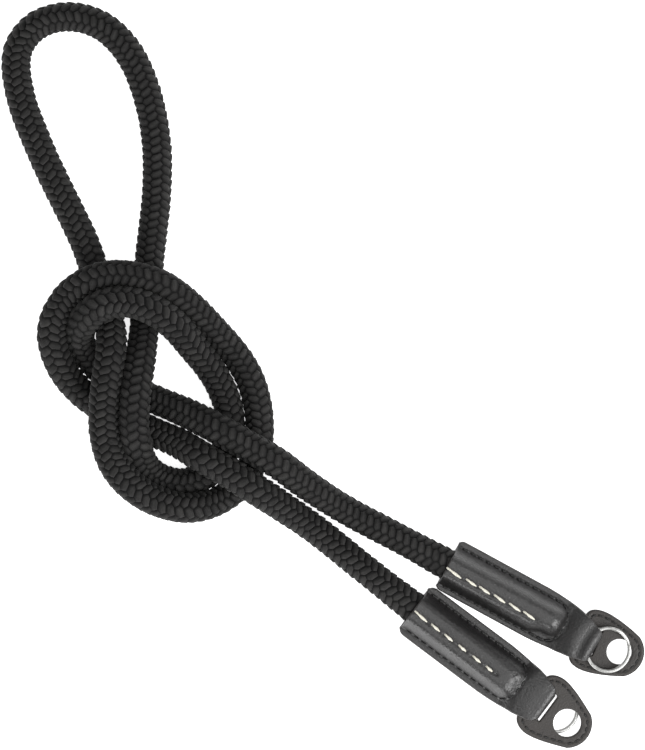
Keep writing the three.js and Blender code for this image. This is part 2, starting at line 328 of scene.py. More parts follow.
def ramp(tree: bpy.types.NodeTree, value: Socket, stops: Iterable[tuple[float, Rgb]]) -> Socket:
    """A colour ramp.

    Args:
        tree: The node tree.
        value: What drives the ramp.
        stops: Each place and its colour.

    Returns:
        The colour's socket.
    """
    node = put(tree, "ShaderNodeValToRGB", {0: value})
    elements = node.color_ramp.elements
    rows = list(stops)
    while len(elements) < len(rows):
        elements.new(0.5)
    for element, (place, colour) in zip(elements, rows):
        element.position = place
        element.color = (*colour, 1.0)
    return node.outputs[0]


def noise(tree: bpy.types.NodeTree, place: Socket, scale: float, detail: float) -> bpy.types.Node:
    """A noise texture."""
    return put(tree, "ShaderNodeTexNoise", {"Vector": place, "Scale": scale, "Detail": detail})


def add_relief(tree: bpy.types.NodeTree, height: Socket, strength: float, depth: float) -> None:
    """Gives a material's shader fine relief.

    Args:
        tree: The material's tree.
        height: What the relief follows.
        strength: How strong it is.
        depth: How deep it is, in metres.
    """
    bump = put(tree, "ShaderNodeBump", {"Strength": strength, "Distance": depth, "Height": height})
    tree.links.new(bump.outputs[0], tree.nodes["Principled BSDF"].inputs["Normal"])


def new_group(name: str, kind: str, inputs: Sequence[tuple[str, str, Any]],
              outputs: Sequence[tuple[str, str]]) -> tuple[bpy.types.NodeTree, Any, Any]:
    """A node group with named sockets.

    Args:
        name: The group's name.
        kind: The tree's type.
        inputs: Each input's name, socket type and value.
        outputs: Each output's name and socket type.

    Returns:
        The tree, its input node and its output node.
    """
    tree = bpy.data.node_groups.new(name, kind)
    for label, socket, value in inputs:
        made = tree.interface.new_socket(name=label, in_out="INPUT", socket_type=socket)
        if value is not None:
            made.default_value = value
    for label, socket in outputs:
        tree.interface.new_socket(name=label, in_out="OUTPUT", socket_type=socket)
    return tree, tree.nodes.new("NodeGroupInput"), tree.nodes.new("NodeGroupOutput")


def new_material(name: str) -> tuple[bpy.types.Material, bpy.types.NodeTree, bpy.types.Node]:
    """A material with a Principled shader.

    Args:
        name: The material's name.

    Returns:
        The material, its tree and the shader's node.
    """
    material = bpy.data.materials.new(name)
    material.use_nodes = True
    tree = material.node_tree
    return material, tree, tree.nodes["Principled BSDF"]


class Effects:
    """Shader node groups that several finishes share."""

    @staticmethod
    def hide_grain() -> bpy.types.NodeTree:
        """Pebbled leather grain, built once.

        Returns:
            A group that gives Height and Tone.
        """
        name = "hide_grain"
        if name in bpy.data.node_groups:
            return bpy.data.node_groups[name]
        tree, given, result = new_group(
            name, "ShaderNodeTree",
            [("Vector", "NodeSocketVector", None), ("Pebbles", "NodeSocketFloat", 1500.0),
             ("Creases", "NodeSocketFloat", 0.5)],
            [("Height", "NodeSocketFloat"), ("Tone", "NodeSocketFloat")])
        bent = noise(tree, given.outputs[0], 420.0, 2.0)
        shift = put(tree, "ShaderNodeVectorMath", {0: bent.outputs[1], 3: 0.0011},
                    operation="SCALE")
        place = put(tree, "ShaderNodeVectorMath", {0: given.outputs[0], 1: shift.outputs[0]})
        cells = put(tree, "ShaderNodeTexVoronoi",
                    {"Vector": place.outputs[0], "Scale": given.outputs[1]},
                    feature="SMOOTH_F1")
        fine = noise(tree, given.outputs[0], 3600.0, 2.0)
        broad = noise(tree, given.outputs[0], 130.0, 4.0)
        pebble = maths(tree, "SUBTRACT", 1.0, cells.outputs[0])
        height = maths(tree, "MULTIPLY_ADD", fine.outputs[0], given.outputs[2], pebble)
        tree.links.new(height, result.inputs[0])
        mixed = maths(tree, "MULTIPLY_ADD", pebble, 0.35,
                      maths(tree, "MULTIPLY", broad.outputs[0], 0.9))
        tree.links.new(mixed, result.inputs[1])
        return tree

    @staticmethod
    def fibre_streak() -> bpy.types.NodeTree:
        """Filaments that run along a yarn, built once.

        Returns:
            A group that gives Height and Tone.
        """
        name = "fibre_streak"
        if name in bpy.data.node_groups:
            return bpy.data.node_groups[name]
        tree, given, result = new_group(
            name, "ShaderNodeTree",
            [("Vector", "NodeSocketVector", None), ("Along", "NodeSocketFloat", 1.0),
             ("Across", "NodeSocketFloat", 9.0)],
            [("Height", "NodeSocketFloat"), ("Tone", "NodeSocketFloat")])
        parts = put(tree, "ShaderNodeSeparateXYZ", {0: given.outputs[0]})
        long = maths(tree, "MULTIPLY", parts.outputs[0], given.outputs[1])
        wide = maths(tree, "MULTIPLY", parts.outputs[1], given.outputs[2])
        place = put(tree, "ShaderNodeCombineXYZ", {0: long, 1: wide})
        streak = noise(tree, place.outputs[0], 1.0, 3.0)
        patch = noise(tree, given.outputs[0], 1.3, 2.0)
        tree.links.new(streak.outputs[0], result.inputs[0])
        tone = maths(tree, "MULTIPLY_ADD", streak.outputs[0], 0.6,
                     maths(tree, "MULTIPLY", patch.outputs[0], 0.4))
        tree.links.new(tone, result.inputs[1])
        return tree


@dataclass(frozen=True)
class YarnFinish:
    """Braided yarn: dark, matt, with filaments along each stitch, deep creases between them and
    painted shade at each stitch's tucked start and sides.
    """

    name: str
    shade: Rgb
    light: Rgb
    # The crease colour is painted shade, laid at each stitch's tucked start and sides; it fades out
    # over the given shares along and across the stitch.
    crease: Rgb
    tuck_shade_reach: tuple[float, float] = (0.3, 0.6)
    own_tone: float = 0.16
    fibre_tone: float = 0.85
    roughness: float = 0.72
    bump: float = 0.35
    depth: float = 0.0002
    sheen: float = 0.03
    sheen_roughness: float = 0.45
    polish: float = 0.12

    def material(self) -> bpy.types.Material:
        """The yarn's material, which reads the stitch's two UV maps and its own tone, and paints
        shade at each stitch's tucked start.

        Returns:
            The material.
        """
        material, tree, shader = new_material(self.name)
        place = put(tree, "ShaderNodeUVMap", uv_map="yarn")
        fibre = put(tree, "ShaderNodeGroup", node_tree=Effects.fibre_streak())
        tree.links.new(place.outputs[0], fibre.inputs["Vector"])
        own = put(tree, "ShaderNodeAttribute", attribute_name="stitch_tone")
        tone = maths(tree, "MULTIPLY_ADD", own.outputs["Fac"], self.own_tone,
                     maths(tree, "MULTIPLY", fibre.outputs["Tone"], self.fibre_tone))
        colour = ramp(tree, tone, [(0.2, self.shade), (0.8, self.light)])
        # Painted shade: the crease colour darkens each stitch towards its tucked start and sides,
        # read from the scale map.
        chart = put(tree, "ShaderNodeUVMap", uv_map="scale")
        parts = put(tree, "ShaderNodeSeparateXYZ", {0: chart.outputs[0]})
        shares = [put(tree, "ShaderNodeMapRange", {"Value": parts.outputs[k], "From Max": reach},
                      interpolation_type="SMOOTHSTEP").outputs[0]
                  for k, reach in enumerate(self.tuck_shade_reach)]
        unshaded_share = maths(tree, "MULTIPLY", *shares)
        shown = put(tree, "ShaderNodeMix", {0: unshaded_share, 6: (*self.crease, 1.0), 7: colour},
                    data_type="RGBA")
        tree.links.new(shown.outputs[2], shader.inputs["Base Color"])
        add_relief(tree, fibre.outputs["Height"], self.bump, self.depth)
        rough = maths(tree, "MULTIPLY_ADD", fibre.outputs["Tone"], 0.16, self.roughness - 0.08)
        tree.links.new(rough, shader.inputs["Roughness"])
        shader.inputs["Sheen Weight"].default_value = self.sheen
        shader.inputs["Sheen Roughness"].default_value = self.sheen_roughness
        shader.inputs["Specular IOR Level"].default_value = self.polish
        return material


@dataclass(frozen=True)
class HideFinish:
    """Dyed leather: pebbled grain, a soft polish and rubbed edges."""

    name: str
    shade: Rgb
    light: Rgb
    edge: Rgb
    roughness: float
    polish: float
    pebbles: float = 1500.0
    bump: float = 0.5
    depth: float = 0.0003

    def material(self) -> bpy.types.Material:
        """The leather's material, which reads object coordinates and the rim attribute.

        Returns:
            The material.
        """
        material, tree, shader = new_material(self.name)
        place = put(tree, "ShaderNodeTexCoord")
        grain = put(tree, "ShaderNodeGroup", node_tree=Effects.hide_grain())
        tree.links.new(place.outputs["Object"], grain.inputs["Vector"])
        grain.inputs["Pebbles"].default_value = self.pebbles
        rim = put(tree, "ShaderNodeAttribute", attribute_name="rim")
        body = ramp(tree, grain.outputs["Tone"], [(0.25, self.shade), (0.95, self.light)])
        worn = maths(tree, "MULTIPLY", rim.outputs["Fac"], grain.outputs["Tone"])
        colour = put(tree, "ShaderNodeMix", {0: worn, 6: body, 7: (*self.edge, 1.0)},
                     data_type="RGBA")
        tree.links.new(colour.outputs[2], shader.inputs["Base Color"])
        add_relief(tree, grain.outputs["Height"], self.bump, self.depth)
        gloss = maths(tree, "MULTIPLY_ADD", grain.outputs["Tone"], 0.4, self.roughness - 0.22)
        rough = maths(tree, "MULTIPLY_ADD", rim.outputs["Fac"], 0.18, gloss)
        tree.links.new(rough, shader.inputs["Roughness"])
        shader.inputs["Specular IOR Level"].default_value = self.polish
        return material


@dataclass(frozen=True)
class ThreadFinish:
    """Waxed sewing thread with a light twist."""

    name: str
    shade: Rgb
    light: Rgb
    roughness: float = 0.6
    bump: float = 0.25
    depth: float = 0.0001

    def material(self) -> bpy.types.Material:
        """The thread's material, which reads object coordinates.

        Returns:
            The material.
        """
        material, tree, shader = new_material(self.name)
        place = put(tree, "ShaderNodeTexCoord")
        fibre = noise(tree, place.outputs["Object"], 2600.0, 3.0)
        colour = ramp(tree, fibre.outputs[0], [(0.3, self.shade), (0.7, self.light)])
        tree.links.new(colour, shader.inputs["Base Color"])
        add_relief(tree, fibre.outputs[0], self.bump, self.depth)
        rough = maths(tree, "MULTIPLY_ADD", fibre.outputs[0], 0.2, self.roughness - 0.1)
        tree.links.new(rough, shader.inputs["Roughness"])
        return material


@dataclass(frozen=True)
class SteelFinish:
    """Polished spring steel with fine handling marks."""

    name: str
    shade: Rgb
    light: Rgb
    roughness: float = 0.32
    bump: float = 0.06
    depth: float = 0.00005

    def material(self) -> bpy.types.Material:
        """The steel's material, which reads object coordinates.

        Returns:
            The material.
        """
        material, tree, shader = new_material(self.name)
        place = put(tree, "ShaderNodeTexCoord")
        cloud = noise(tree, place.outputs["Object"], 700.0, 4.0)
        marks = noise(tree, place.outputs["Object"], 5200.0, 2.0)
        colour = ramp(tree, cloud.outputs[0], [(0.3, self.shade), (0.7, self.light)])
        tree.links.new(colour, shader.inputs["Base Color"])
        rough = maths(tree, "MULTIPLY_ADD", marks.outputs[0], 0.16, self.roughness - 0.08)
        tree.links.new(rough, shader.inputs["Roughness"])
        add_relief(tree, marks.outputs[0], self.bump, self.depth)
        shader.inputs["Metallic"].default_value = 1.0
        return material


@dataclass(frozen=True)
class EndPlace:
    """Where one leather end lies, and how its ring and guard sit, in millimetres and degrees."""

    tag: str
    mouth: tuple[float, float]
    turn: float
    stack: Stack
    pivot_along: float
    pivot_height: float
    tilt: float
    ring_along: float
    ring_across: float
    ring_turn: float
    guard_along: float
    guard_across: float
    guard_turn: float
    hole_radius: float
    slit: tuple[float, float, float]
    rope_sway: float
    ring_height: float = 2.08
    guard_thickness: float = 2.0
    clearance: float = 0.25

    def end(self) -> Matrix:
        """The frame of the leather end: u, v, w from the middle of its mouth."""
        return (Matrix.Translation((*self.mouth, 0.0))
                @ Matrix.Rotation(math.radians(self.turn), 4, "Z"))

    def hardware(self) -> Matrix:
        """The leaning frame that the ring and the guard lie in."""
        return (self.end() @ Matrix.Translation((self.pivot_along, 0.0, self.pivot_height))
                @ Matrix.Rotation(math.radians(self.tilt), 4, "Y"))

    def guard(self) -> Matrix:
        """The guard's frame.

        Returns:
            The frame, from the middle of the slit.
        """
        over = self.stack is Stack.RING_UNDER_GUARD
        height = self.ring_height + self.clearance if over else 0.0
        along = self.guard_along - self.pivot_along
        return (self.hardware() @ Matrix.Translation((along, self.guard_across, height))
                @ Matrix.Rotation(math.radians(self.guard_turn), 4, "Z"))

    def ring(self) -> Matrix:
        """The ring's frame.

        Returns:
            The frame, from the ring's centre.
        """
        over = self.stack is Stack.RING_OVER_GUARD
        height = self.guard_thickness + self.clearance if over else 0.0
        along = self.ring_along - self.pivot_along
        return (self.hardware() @ Matrix.Translation((along, self.ring_across, height))
                @ Matrix.Rotation(math.radians(self.ring_turn), 4, "Z"))

    def rope_points(self) -> Array:
        """The rope's points in this end.

        Returns:
            Rows of x, y, z in metres, from the deepest outwards.
        """
        rows = [(inside, self.rope_sway * (inside < 0), ROPE_AXIS_IN_END)
                for inside in ROPE_STATIONS]
        return moved(np.array(rows), self.end())


END_A = EndPlace(
    "a", mouth=(-24.8, 27.4), turn=-28.6, stack=Stack.RING_OVER_GUARD,
    pivot_along=51.65, pivot_height=1.85, tilt=4.9,
    ring_along=60.85, ring_across=0.72, ring_turn=70.0,
    guard_along=56.95, guard_across=1.05, guard_turn=6.0,
    hole_radius=4.35, slit=(-1.9, -0.1, 5.0), rope_sway=0.0)
END_B = EndPlace(
    "b", mouth=(-36.1, 12.7), turn=-36.8, stack=Stack.RING_UNDER_GUARD,
    pivot_along=51.65, pivot_height=1.55, tilt=5.5,
    ring_along=58.9, ring_across=0.8, ring_turn=200.0,
    guard_along=56.15, guard_across=-0.2, guard_turn=0.0,
    hole_radius=4.8, slit=(-1.95, 0.05, 5.4), rope_sway=0.4)


@dataclass
class RopeRoute:
    """The rope's centreline, from deep inside end a to deep inside end b, in metres."""

    spacing: float = 0.0005
    easing: float = 0.0015
    overrun: int = 200
    line: Array = field(init=False)
    along: Array = field(init=False)
    side: Array = field(init=False)
    rise: Array = field(init=False)

    def __post_init__(self) -> None:
        """Works out the line and the frames along it."""
        knot = STRAIGHT_FROM_A + INNER_TURN + TOP_LOOP + OUTER_TURN + STRAIGHT_TO_B
        points = np.vstack([END_A.rope_points(), np.array(knot), END_B.rope_points()[::-1]])
        line = self.spaced(self.smooth_curve(points))
        extra = self.overrun
        before, after = 2 * line[0] - line[extra:0:-1], 2 * line[-1] - line[-2:-extra - 2:-1]
        eased = blurred(np.vstack([before, line, after]), self.easing / self.spacing, NO_BLUR)
        self.line = self.spaced(eased[extra:-extra])
        self.along = reaches(self.line)
        self.carry_frames()

    @property
    def length(self) -> float:
        """The rope's length."""
        return float(self.along[-1])

    @staticmethod
    def smooth_curve(points: Array, parts: int = 40) -> Array:
        """A smooth curve through points, with no overshoot at uneven spacing.

        Args:
            points: Rows of x, y, z.
            parts: Steps between two points.

        Returns:
            Rows of x, y, z along the curve.
        """
        rows = np.vstack([2 * points[0] - points[1], points, 2 * points[-1] - points[-2]])
        gaps = np.sqrt(np.linalg.norm(np.diff(rows, axis=0), axis=1))
        t = np.linspace(0, 1, parts, endpoint=False)[:, None]
        pieces = []
        for k in range(1, len(rows) - 2):
            before, start, end, after = rows[k - 1:k + 3]
            first, middle, last = gaps[k - 1:k + 2]
            leave = ((start - before) / first - (end - before) / (first + middle)
                     + (end - start) / middle) * middle
            arrive = ((end - start) / middle - (after - start) / (middle + last)
                      + (after - end) / last) * middle
            pieces.append((2 * t**3 - 3 * t**2 + 1) * start + (t**3 - 2 * t**2 + t) * leave
                          + (3 * t**2 - 2 * t**3) * end + (t**3 - t**2) * arrive)
        return np.vstack([*pieces, points[-1:]])

    def spaced(self, line: Array) -> Array:
        """The same line with points at even steps.

        Args:
            line: Rows of x, y, z.

        Returns:
            Rows of x, y, z.
        """
        reach = reaches(line)
        return sampled(line, reach, np.linspace(0, reach[-1], int(reach[-1] / self.spacing) + 1))

    def carry_frames(self) -> None:
        """Carries a side and a rise direction along the line without twist."""
        ahead = unit(np.gradient(self.line, axis=0))
        side = np.zeros_like(ahead)
        side[0] = unit(np.cross((0.0, 0.0, 1.0), ahead[0]))
        for k in range(1, len(ahead)):
            kept = side[k - 1] - ahead[k] * np.dot(side[k - 1], ahead[k])
            side[k] = kept / np.linalg.norm(kept)
        self.side = side
        self.rise = np.cross(ahead, side)

    def at(self, along: Array) -> tuple[Array, Array, Array]:
        """The line and its frame at distances along it.

        Args:
            along: Distances from the start.

        Returns:
            The points, the side directions and the rise directions.
        """
        points, side, rise = (sampled(table, self.along, along)
                              for table in (self.line, self.side, self.rise))
        return points, side, rise


@dataclass
class BraidedRope:
    """A round braid of sixteen yarns, each of which goes over two others and under two.

    A stitch is tucked in at its start and proud near its end. The rope is squeezed where it goes
    into the leather, narrow inside it, and pressed flat where it rides over itself.
    """

    route: RopeRoute
    finish: YarnFinish
    crest_radius: float = 0.00512
    stitch_height: float = 0.0006
    stitch_pitch: float = 0.0028
    yarns: int = 16
    steps: tuple[float, ...] = (0.0, 0.3, 0.62, 0.87)
    bulge: float = 0.2
    profile: Sequence[tuple[float, float]] = (
        (0.0, 0.0), (0.15, 0.5), (0.31, 0.74), (0.5, 0.9), (0.65, 0.97), (0.8, 1.0), (0.93, 0.93),
        (1.0, 0.0))
    plumpness: tuple[float, float] = (0.9, 0.2)
    squeeze: float = 0.62
    squeezed_over: tuple[float, float] = (0.018, 0.002)
    spread: float = 0.08
    narrowed: float = 0.82
    narrowed_over: tuple[float, float] = (0.0005, 0.003)
    pressed_flat: float = 0.06
    pressed_over: tuple[float, float] = (0.006, 0.006)
    map_spread: tuple[float, float] = (40.0, 13.0)
    exit_inside: float = 10.0
    diameter: float = 0.010
    path_step: int = 8

    def lattice(self) -> dict[str, Array]:
        """The braid's slanting lattice, one entry for each vertex.

        Returns:
            Tables of the angle, the distance along, the height, and each stitch's number.
        """
        fine = len(self.steps)
        half = self.yarns * fine // 2
        share, gap = np.array(self.steps), np.diff([*self.steps, 1.0])
        rows = int(self.route.length / (self.stitch_pitch / 2) * fine)
        row = np.arange(rows + 1)[:, None]
        around = 2 * np.arange(half)[None, :] + (row & 1)
        x, y = (around + row) // 2, (row - around) // 2
        cell_x, cell_y = x // fine, y // fine
        part_x, part_y = share[x % fine], share[y % fine]
        kind = (cell_x - cell_y) % 4
        right = kind < 2
        long = np.where(right, (kind == 1) + part_x, (kind == 2) + part_y)
        wide = np.where(right, part_y, part_x)
        lift = self.scale_profile(long / 2) * self.scale_profile(wide)
        shifts = np.array([(0, 1), (0, -1), (-1, 0), (1, 0)]) * self.bulge
        weights = ((1 - part_x) * (1 - part_y), part_x * (1 - part_y),
                   (1 - part_x) * part_y, part_x * part_y)
        shift = sum(weight[..., None] * shifts[(kind + turn) % 4]
                    for weight, turn in zip(weights, (0, 1, -1, 0)))
        i, j = cell_x + part_x + shift[..., 0], cell_y + part_y + shift[..., 1]
        lap = (cell_x - cell_y) // 4
        strand = np.where(right, cell_y, cell_x) + np.where(right, 8, -8) * (lap // 4)
        stitch = (strand * 8 + (lap % 4) * 2 + right) % STITCH_NUMBERS
        return {"angle": (i - j) * (2 * math.pi / self.yarns),
                "along": (i + j) * self.stitch_pitch / 2, "lift": lift, "long": long,
                "wide": wide, "stitch": stitch, "kind": kind, "gap_x": gap[x % fine],
                "gap_y": gap[y % fine]}

    def scale_profile(self, share: Array) -> Array:
        """A stitch's height along or across it: tucked in at its start, proud near its end."""
        return np.interp(share, *np.array(self.profile).T)

    def surface(self, table: dict[str, Array], tones: Array) -> Array:
        """The braid's vertices round the route.

        Args:
            table: The lattice.
            tones: A random number for each stitch.

        Returns:
            Rows of x, y, z.
        """
        along = np.clip(table["along"], 0, self.route.length)
        centre, side, rise = self.route.at(along)
        least, spare = self.plumpness
        plump = least + spare * tones[table["stitch"]]
        radius = self.crest_radius - self.stitch_height * (1 - table["lift"] * plump)
        offset = (side * (radius * np.cos(table["angle"]))[..., None]
                  + rise * (radius * np.sin(table["angle"]))[..., None])
        depth = np.maximum(along * -1, along - self.route.length) + ROPE_STATIONS[0] * MM
        outside, inside = self.squeezed_over
        squeezed = smoothstep(np.clip((depth + outside) / (outside + inside), 0, 1))
        outside, over = self.narrowed_over
        hidden = np.clip((depth + outside) / over, 0, 1)
        lowest, over = self.pressed_over
        pressed = np.clip((centre[..., 2] - lowest) / over, 0, 1) * self.pressed_flat
        wider = self.spread * squeezed * (1 - hidden) + pressed
        offset[..., :2] *= (1 + (self.narrowed - 1) * hidden + wider)[..., None]
        offset[..., 2] *= 1 + (self.squeeze - 1) * squeezed - pressed
        return centre + offset

    def build(self) -> bpy.types.Object:
        """The rope as one closed mesh, with each stitch's own map and tone.

        Returns:
            The rope.
        """
        table = self.lattice()
        tones = np.random.default_rng(SEED).random(STITCH_NUMBERS)
        points = self.surface(table, tones)
        rows, half = table["angle"].shape
        number = np.arange(rows * half).reshape(rows, half)
        odd = (np.arange(rows - 2) & 1)[:, None]
        column = np.arange(half)[None, :]
        low = number[:-2]
        next_row = number[1:-1]
        right = np.take_along_axis(next_row, (column + odd) % half, axis=1)
        left = np.take_along_axis(next_row, (column + odd - 1) % half, axis=1)
        quads = np.stack([low, right, number[2:], left], axis=-1).reshape(-1, 4)
        cap = rows * half
        centres = np.stack([self.route.line[0], self.route.line[-1]])
        first = self.zigzag(number[0], number[1], 0)
        last = self.zigzag(number[-1], number[-2], (rows - 1) & 1)
        caps = [(cap, b, a) for a, b in zip(first, np.roll(first, -1))]
        caps += [(cap + 1, a, b) for a, b in zip(last, np.roll(last, -1))]
        vertices = np.vstack([points.reshape(-1, 3), centres])
        piece = make_piece("braided_rope", vertices, quads.tolist() + caps)
        lift = np.append(table["lift"].ravel(), [1.0, 1.0])
        self.crease(piece.data, lift)
        self.map_yarn(piece.data, quads, table, tones, len(caps))
        return piece

    @staticmethod
    def zigzag(outer: Array, inner: Array, odd: int) -> Array:
        """The corners round one end of the rope, in order.

        Args:
            outer: The last row of vertices.
            inner: The row next to it.
            odd: Whether the last row is an odd one.

        Returns:
            The corner numbers.
        """
        pairs = (outer, inner) if not odd else (outer, np.roll(inner, -1))
        return np.stack(pairs, axis=1).ravel()

    @staticmethod
    def crease(mesh: bpy.types.Mesh, lift: Array) -> None:
        """Marks the edges between stitches sharp.

        Args:
            mesh: The rope's mesh.
            lift: Each vertex's height in its stitch, zero on a border.
        """
        ends = np.empty(2 * len(mesh.edges), dtype=np.int32)
        mesh.edges.foreach_get("vertices", ends)
        border = lift[ends.reshape(-1, 2)].max(axis=1) < 1e-6
        store(mesh, "sharp_edge", "BOOLEAN", "EDGE", border)

    def map_yarn(self, mesh: bpy.types.Mesh, quads: Array, table: dict[str, Array],
                 tones: Array, caps: int) -> None:
        """Maps each stitch along and across its own yarn.

        Args:
            mesh: The rope's mesh.
            quads: The braid's faces.
            table: The lattice.
            tones: A random number for each stitch.
            caps: How many triangles close the ends.
        """
        low = quads[:, 0]
        flat = {name: values.ravel()[low] for name, values in table.items()}
        corner_x = np.outer(flat["gap_x"], (0, 1, 1, 0))
        corner_y = np.outer(flat["gap_y"], (0, 0, 1, 1))
        right = (flat["kind"] < 2)[:, None]
        long = flat["long"][:, None] + np.where(right, corner_x, corner_y)
        wide = flat["wide"][:, None] + np.where(right, corner_y, corner_x)
        own = tones[flat["stitch"]]
        chart = np.stack([long, wide], axis=-1) + own[:, None, None] * self.map_spread
        # The scale map gives shares along and across each stitch; the yarn's material paints shade
        # from it.
        share = np.stack([long / 2, wide], axis=-1)
        for name, values in (("yarn", chart), ("scale", share)):
            layer = mesh.uv_layers.new(name=name)
            layer.data.foreach_set("uv", np.append(values.ravel(), np.zeros(caps * 6)))
        store(mesh, "stitch_tone", "FLOAT", "FACE", np.append(own, np.zeros(caps)))

    def dress(self) -> None:
        piece = attach(self.build(), self.finish.material(), "rope")


class Growth:
    """Geometry Nodes trees for what repeats or follows a path."""

    @staticmethod
    def stitches() -> bpy.types.NodeTree:
        """A tree that lays one twisted thread stitch on each point, built once.

        Returns:
            The tree. Each point carries the attributes ahead, up and span.
        """
        name = "thread_stitches"
        if name in bpy.data.node_groups:
            return bpy.data.node_groups[name]
        tree, given, result = new_group(
            name, "GeometryNodeTree",
            [("Geometry", "NodeSocketGeometry", None), ("Thread radius", "NodeSocketFloat", 0.0003),
             ("Arch", "NodeSocketFloat", 0.0003), ("Twist", "NodeSocketFloat", 9.0),
             ("Material", "NodeSocketMaterial", None)],
            [("Geometry", "NodeSocketGeometry")])
        line = put(tree, "GeometryNodeCurvePrimitiveLine",
                   {"Start": (-0.5, 0.0, 0.0), "End": (0.5, 0.0, 0.0)})
        even = put(tree, "GeometryNodeResampleCurve", {"Curve": line.outputs[0], "Count": 15})
        share = tree.nodes.new("GeometryNodeSplineParameter").outputs["Factor"]
        spread = maths(tree, "MULTIPLY_ADD", share, 2.0, -1.0)
        cubed = maths(tree, "POWER", maths(tree, "ABSOLUTE", spread), 3.0)
        bow = maths(tree, "SUBTRACT", 1.0, cubed)
        rise = maths(tree, "MULTIPLY", bow, given.outputs[2])
        lift = put(tree, "ShaderNodeCombineXYZ", {2: rise})
        arched = put(tree, "GeometryNodeSetPosition",
                     {"Geometry": even.outputs[0], "Offset": lift.outputs[0]})
        slim = maths(tree, "MULTIPLY", given.outputs[1], maths(tree, "MULTIPLY_ADD", bow, 0.4, 0.6))
        sized = put(tree, "GeometryNodeSetCurveRadius",
                    {"Curve": arched.outputs[0], "Radius": slim})
        tilt = maths(tree, "MULTIPLY", share, given.outputs[3])
        twisted = put(tree, "GeometryNodeSetCurveTilt", {"Curve": sized.outputs[0], "Tilt": tilt})
        circle = put(tree, "GeometryNodeCurvePrimitiveCircle", {"Resolution": 12, "Radius": 1.0})
        place = tree.nodes.new("GeometryNodeInputPosition").outputs[0]
        parts = put(tree, "ShaderNodeSeparateXYZ", {0: place})
        lobes = maths(tree, "SUBTRACT", maths(tree, "MULTIPLY", parts.outputs[0], parts.outputs[0]),
                      maths(tree, "MULTIPLY", parts.outputs[1], parts.outputs[1]))
        push = put(tree, "ShaderNodeVectorMath", {0: place, 3: maths(tree, "MULTIPLY", lobes, 0.2)},
                   operation="SCALE")
        plies = put(tree, "GeometryNodeSetPosition",
                    {"Geometry": circle.outputs[0], "Offset": push.outputs[0]})
        radius = tree.nodes.new("GeometryNodeInputRadius").outputs[0]
        swept = put(tree, "GeometryNodeCurveToMesh",
                    {"Curve": twisted.outputs[0], "Profile Curve": plies.outputs[0],
                     "Scale": radius, "Fill Caps": True})
        ahead, up, span = (
            put(tree, "GeometryNodeInputNamedAttribute", {"Name": label}, data_type=kind).outputs[0]
            for label, kind in (("ahead", "FLOAT_VECTOR"), ("up", "FLOAT_VECTOR"),
                                ("span", "FLOAT")))
        turn = put(tree, "FunctionNodeAxesToRotation", {0: ahead, 1: up},
                   primary_axis="X", secondary_axis="Z")
        size = put(tree, "ShaderNodeCombineXYZ", {0: span, 1: 1.0, 2: 1.0})
        sewn = put(tree, "GeometryNodeInstanceOnPoints",
                   {"Points": given.outputs[0], "Instance": swept.outputs[0],
                    "Rotation": turn.outputs[0], "Scale": size.outputs[0]})
        Growth.end_tree(tree, sewn.outputs[0], given.outputs[4], result)
        return tree

    @staticmethod
    def wire() -> bpy.types.NodeTree:
        """A tree that sweeps flat wire with rounded corners along a row of edges, built once.

        Returns:
            The tree.
        """
        name = "flat_wire"
        if name in bpy.data.node_groups:
            return bpy.data.node_groups[name]
        tree, given, result = new_group(
            name, "GeometryNodeTree",
            [("Geometry", "NodeSocketGeometry", None), ("Radial", "NodeSocketFloat", 1.2),
             ("Axial", "NodeSocketFloat", 1.0), ("Corner", "NodeSocketFloat", 0.3),
             ("Material", "NodeSocketMaterial", None)],
            [("Geometry", "NodeSocketGeometry")])
        curve = put(tree, "GeometryNodeMeshToCurve", {"Mesh": given.outputs[0]})
        level = put(tree, "GeometryNodeSetCurveNormal", {"Curve": curve.outputs[0]}, mode="Z_UP")
        box = put(tree, "GeometryNodeCurvePrimitiveQuadrilateral",
                  {"Width": given.outputs[1], "Height": given.outputs[2]})
        rounded = put(tree, "GeometryNodeFilletCurve",
                      {"Curve": box.outputs[0], "Radius": given.outputs[3], "Count": 4},
                      mode="POLY")
        swept = put(tree, "GeometryNodeCurveToMesh",
                    {"Curve": level.outputs[0], "Profile Curve": rounded.outputs[0],
                     "Fill Caps": True})
        Growth.end_tree(tree, swept.outputs[0], given.outputs[4], result)
        return tree

    @staticmethod
    def end_tree(tree: bpy.types.NodeTree, shape: Socket, material: Socket, result: Any) -> None:
        """Ends a tree with real, smooth geometry that has its material.

        Args:
            tree: The tree.
            shape: The geometry so far.
            material: The material's socket.
            result: The tree's output node.
        """
        real = put(tree, "GeometryNodeRealizeInstances", {"Geometry": shape})
        smooth = put(tree, "GeometryNodeSetShadeSmooth", {"Geometry": real.outputs[0]})
        painted = put(tree, "GeometryNodeSetMaterial",
                      {"Geometry": smooth.outputs[0], "Material": material})
        tree.links.new(painted.outputs[0], result.inputs[0])

    @staticmethod
    def grow(name: str, source: bpy.types.Mesh, tree: bpy.types.NodeTree,
             values: dict[str, Any]) -> bpy.types.Object:
        """Runs a tree on a mesh and keeps the result as a plain mesh.

        Args:
            name: The new piece's name.
            source: The points or edges that the tree starts from.
            tree: The tree.
            values: Its named inputs.

        Returns:
            The new piece.
        """
        seed = linked(name + "_seed", source)
        modifier = seed.modifiers.new(name, "NODES")
        modifier.node_group = tree
        for item in tree.interface.items_tree:
            if item.in_out == "INPUT" and item.name in values:
                modifier[item.identifier] = values[item.name]
        seen = seed.evaluated_get(bpy.context.evaluated_depsgraph_get())
        mesh = bpy.data.meshes.new_from_object(seen)
        mesh.name = name
        bpy.data.objects.remove(seed)
        return linked(name, mesh)


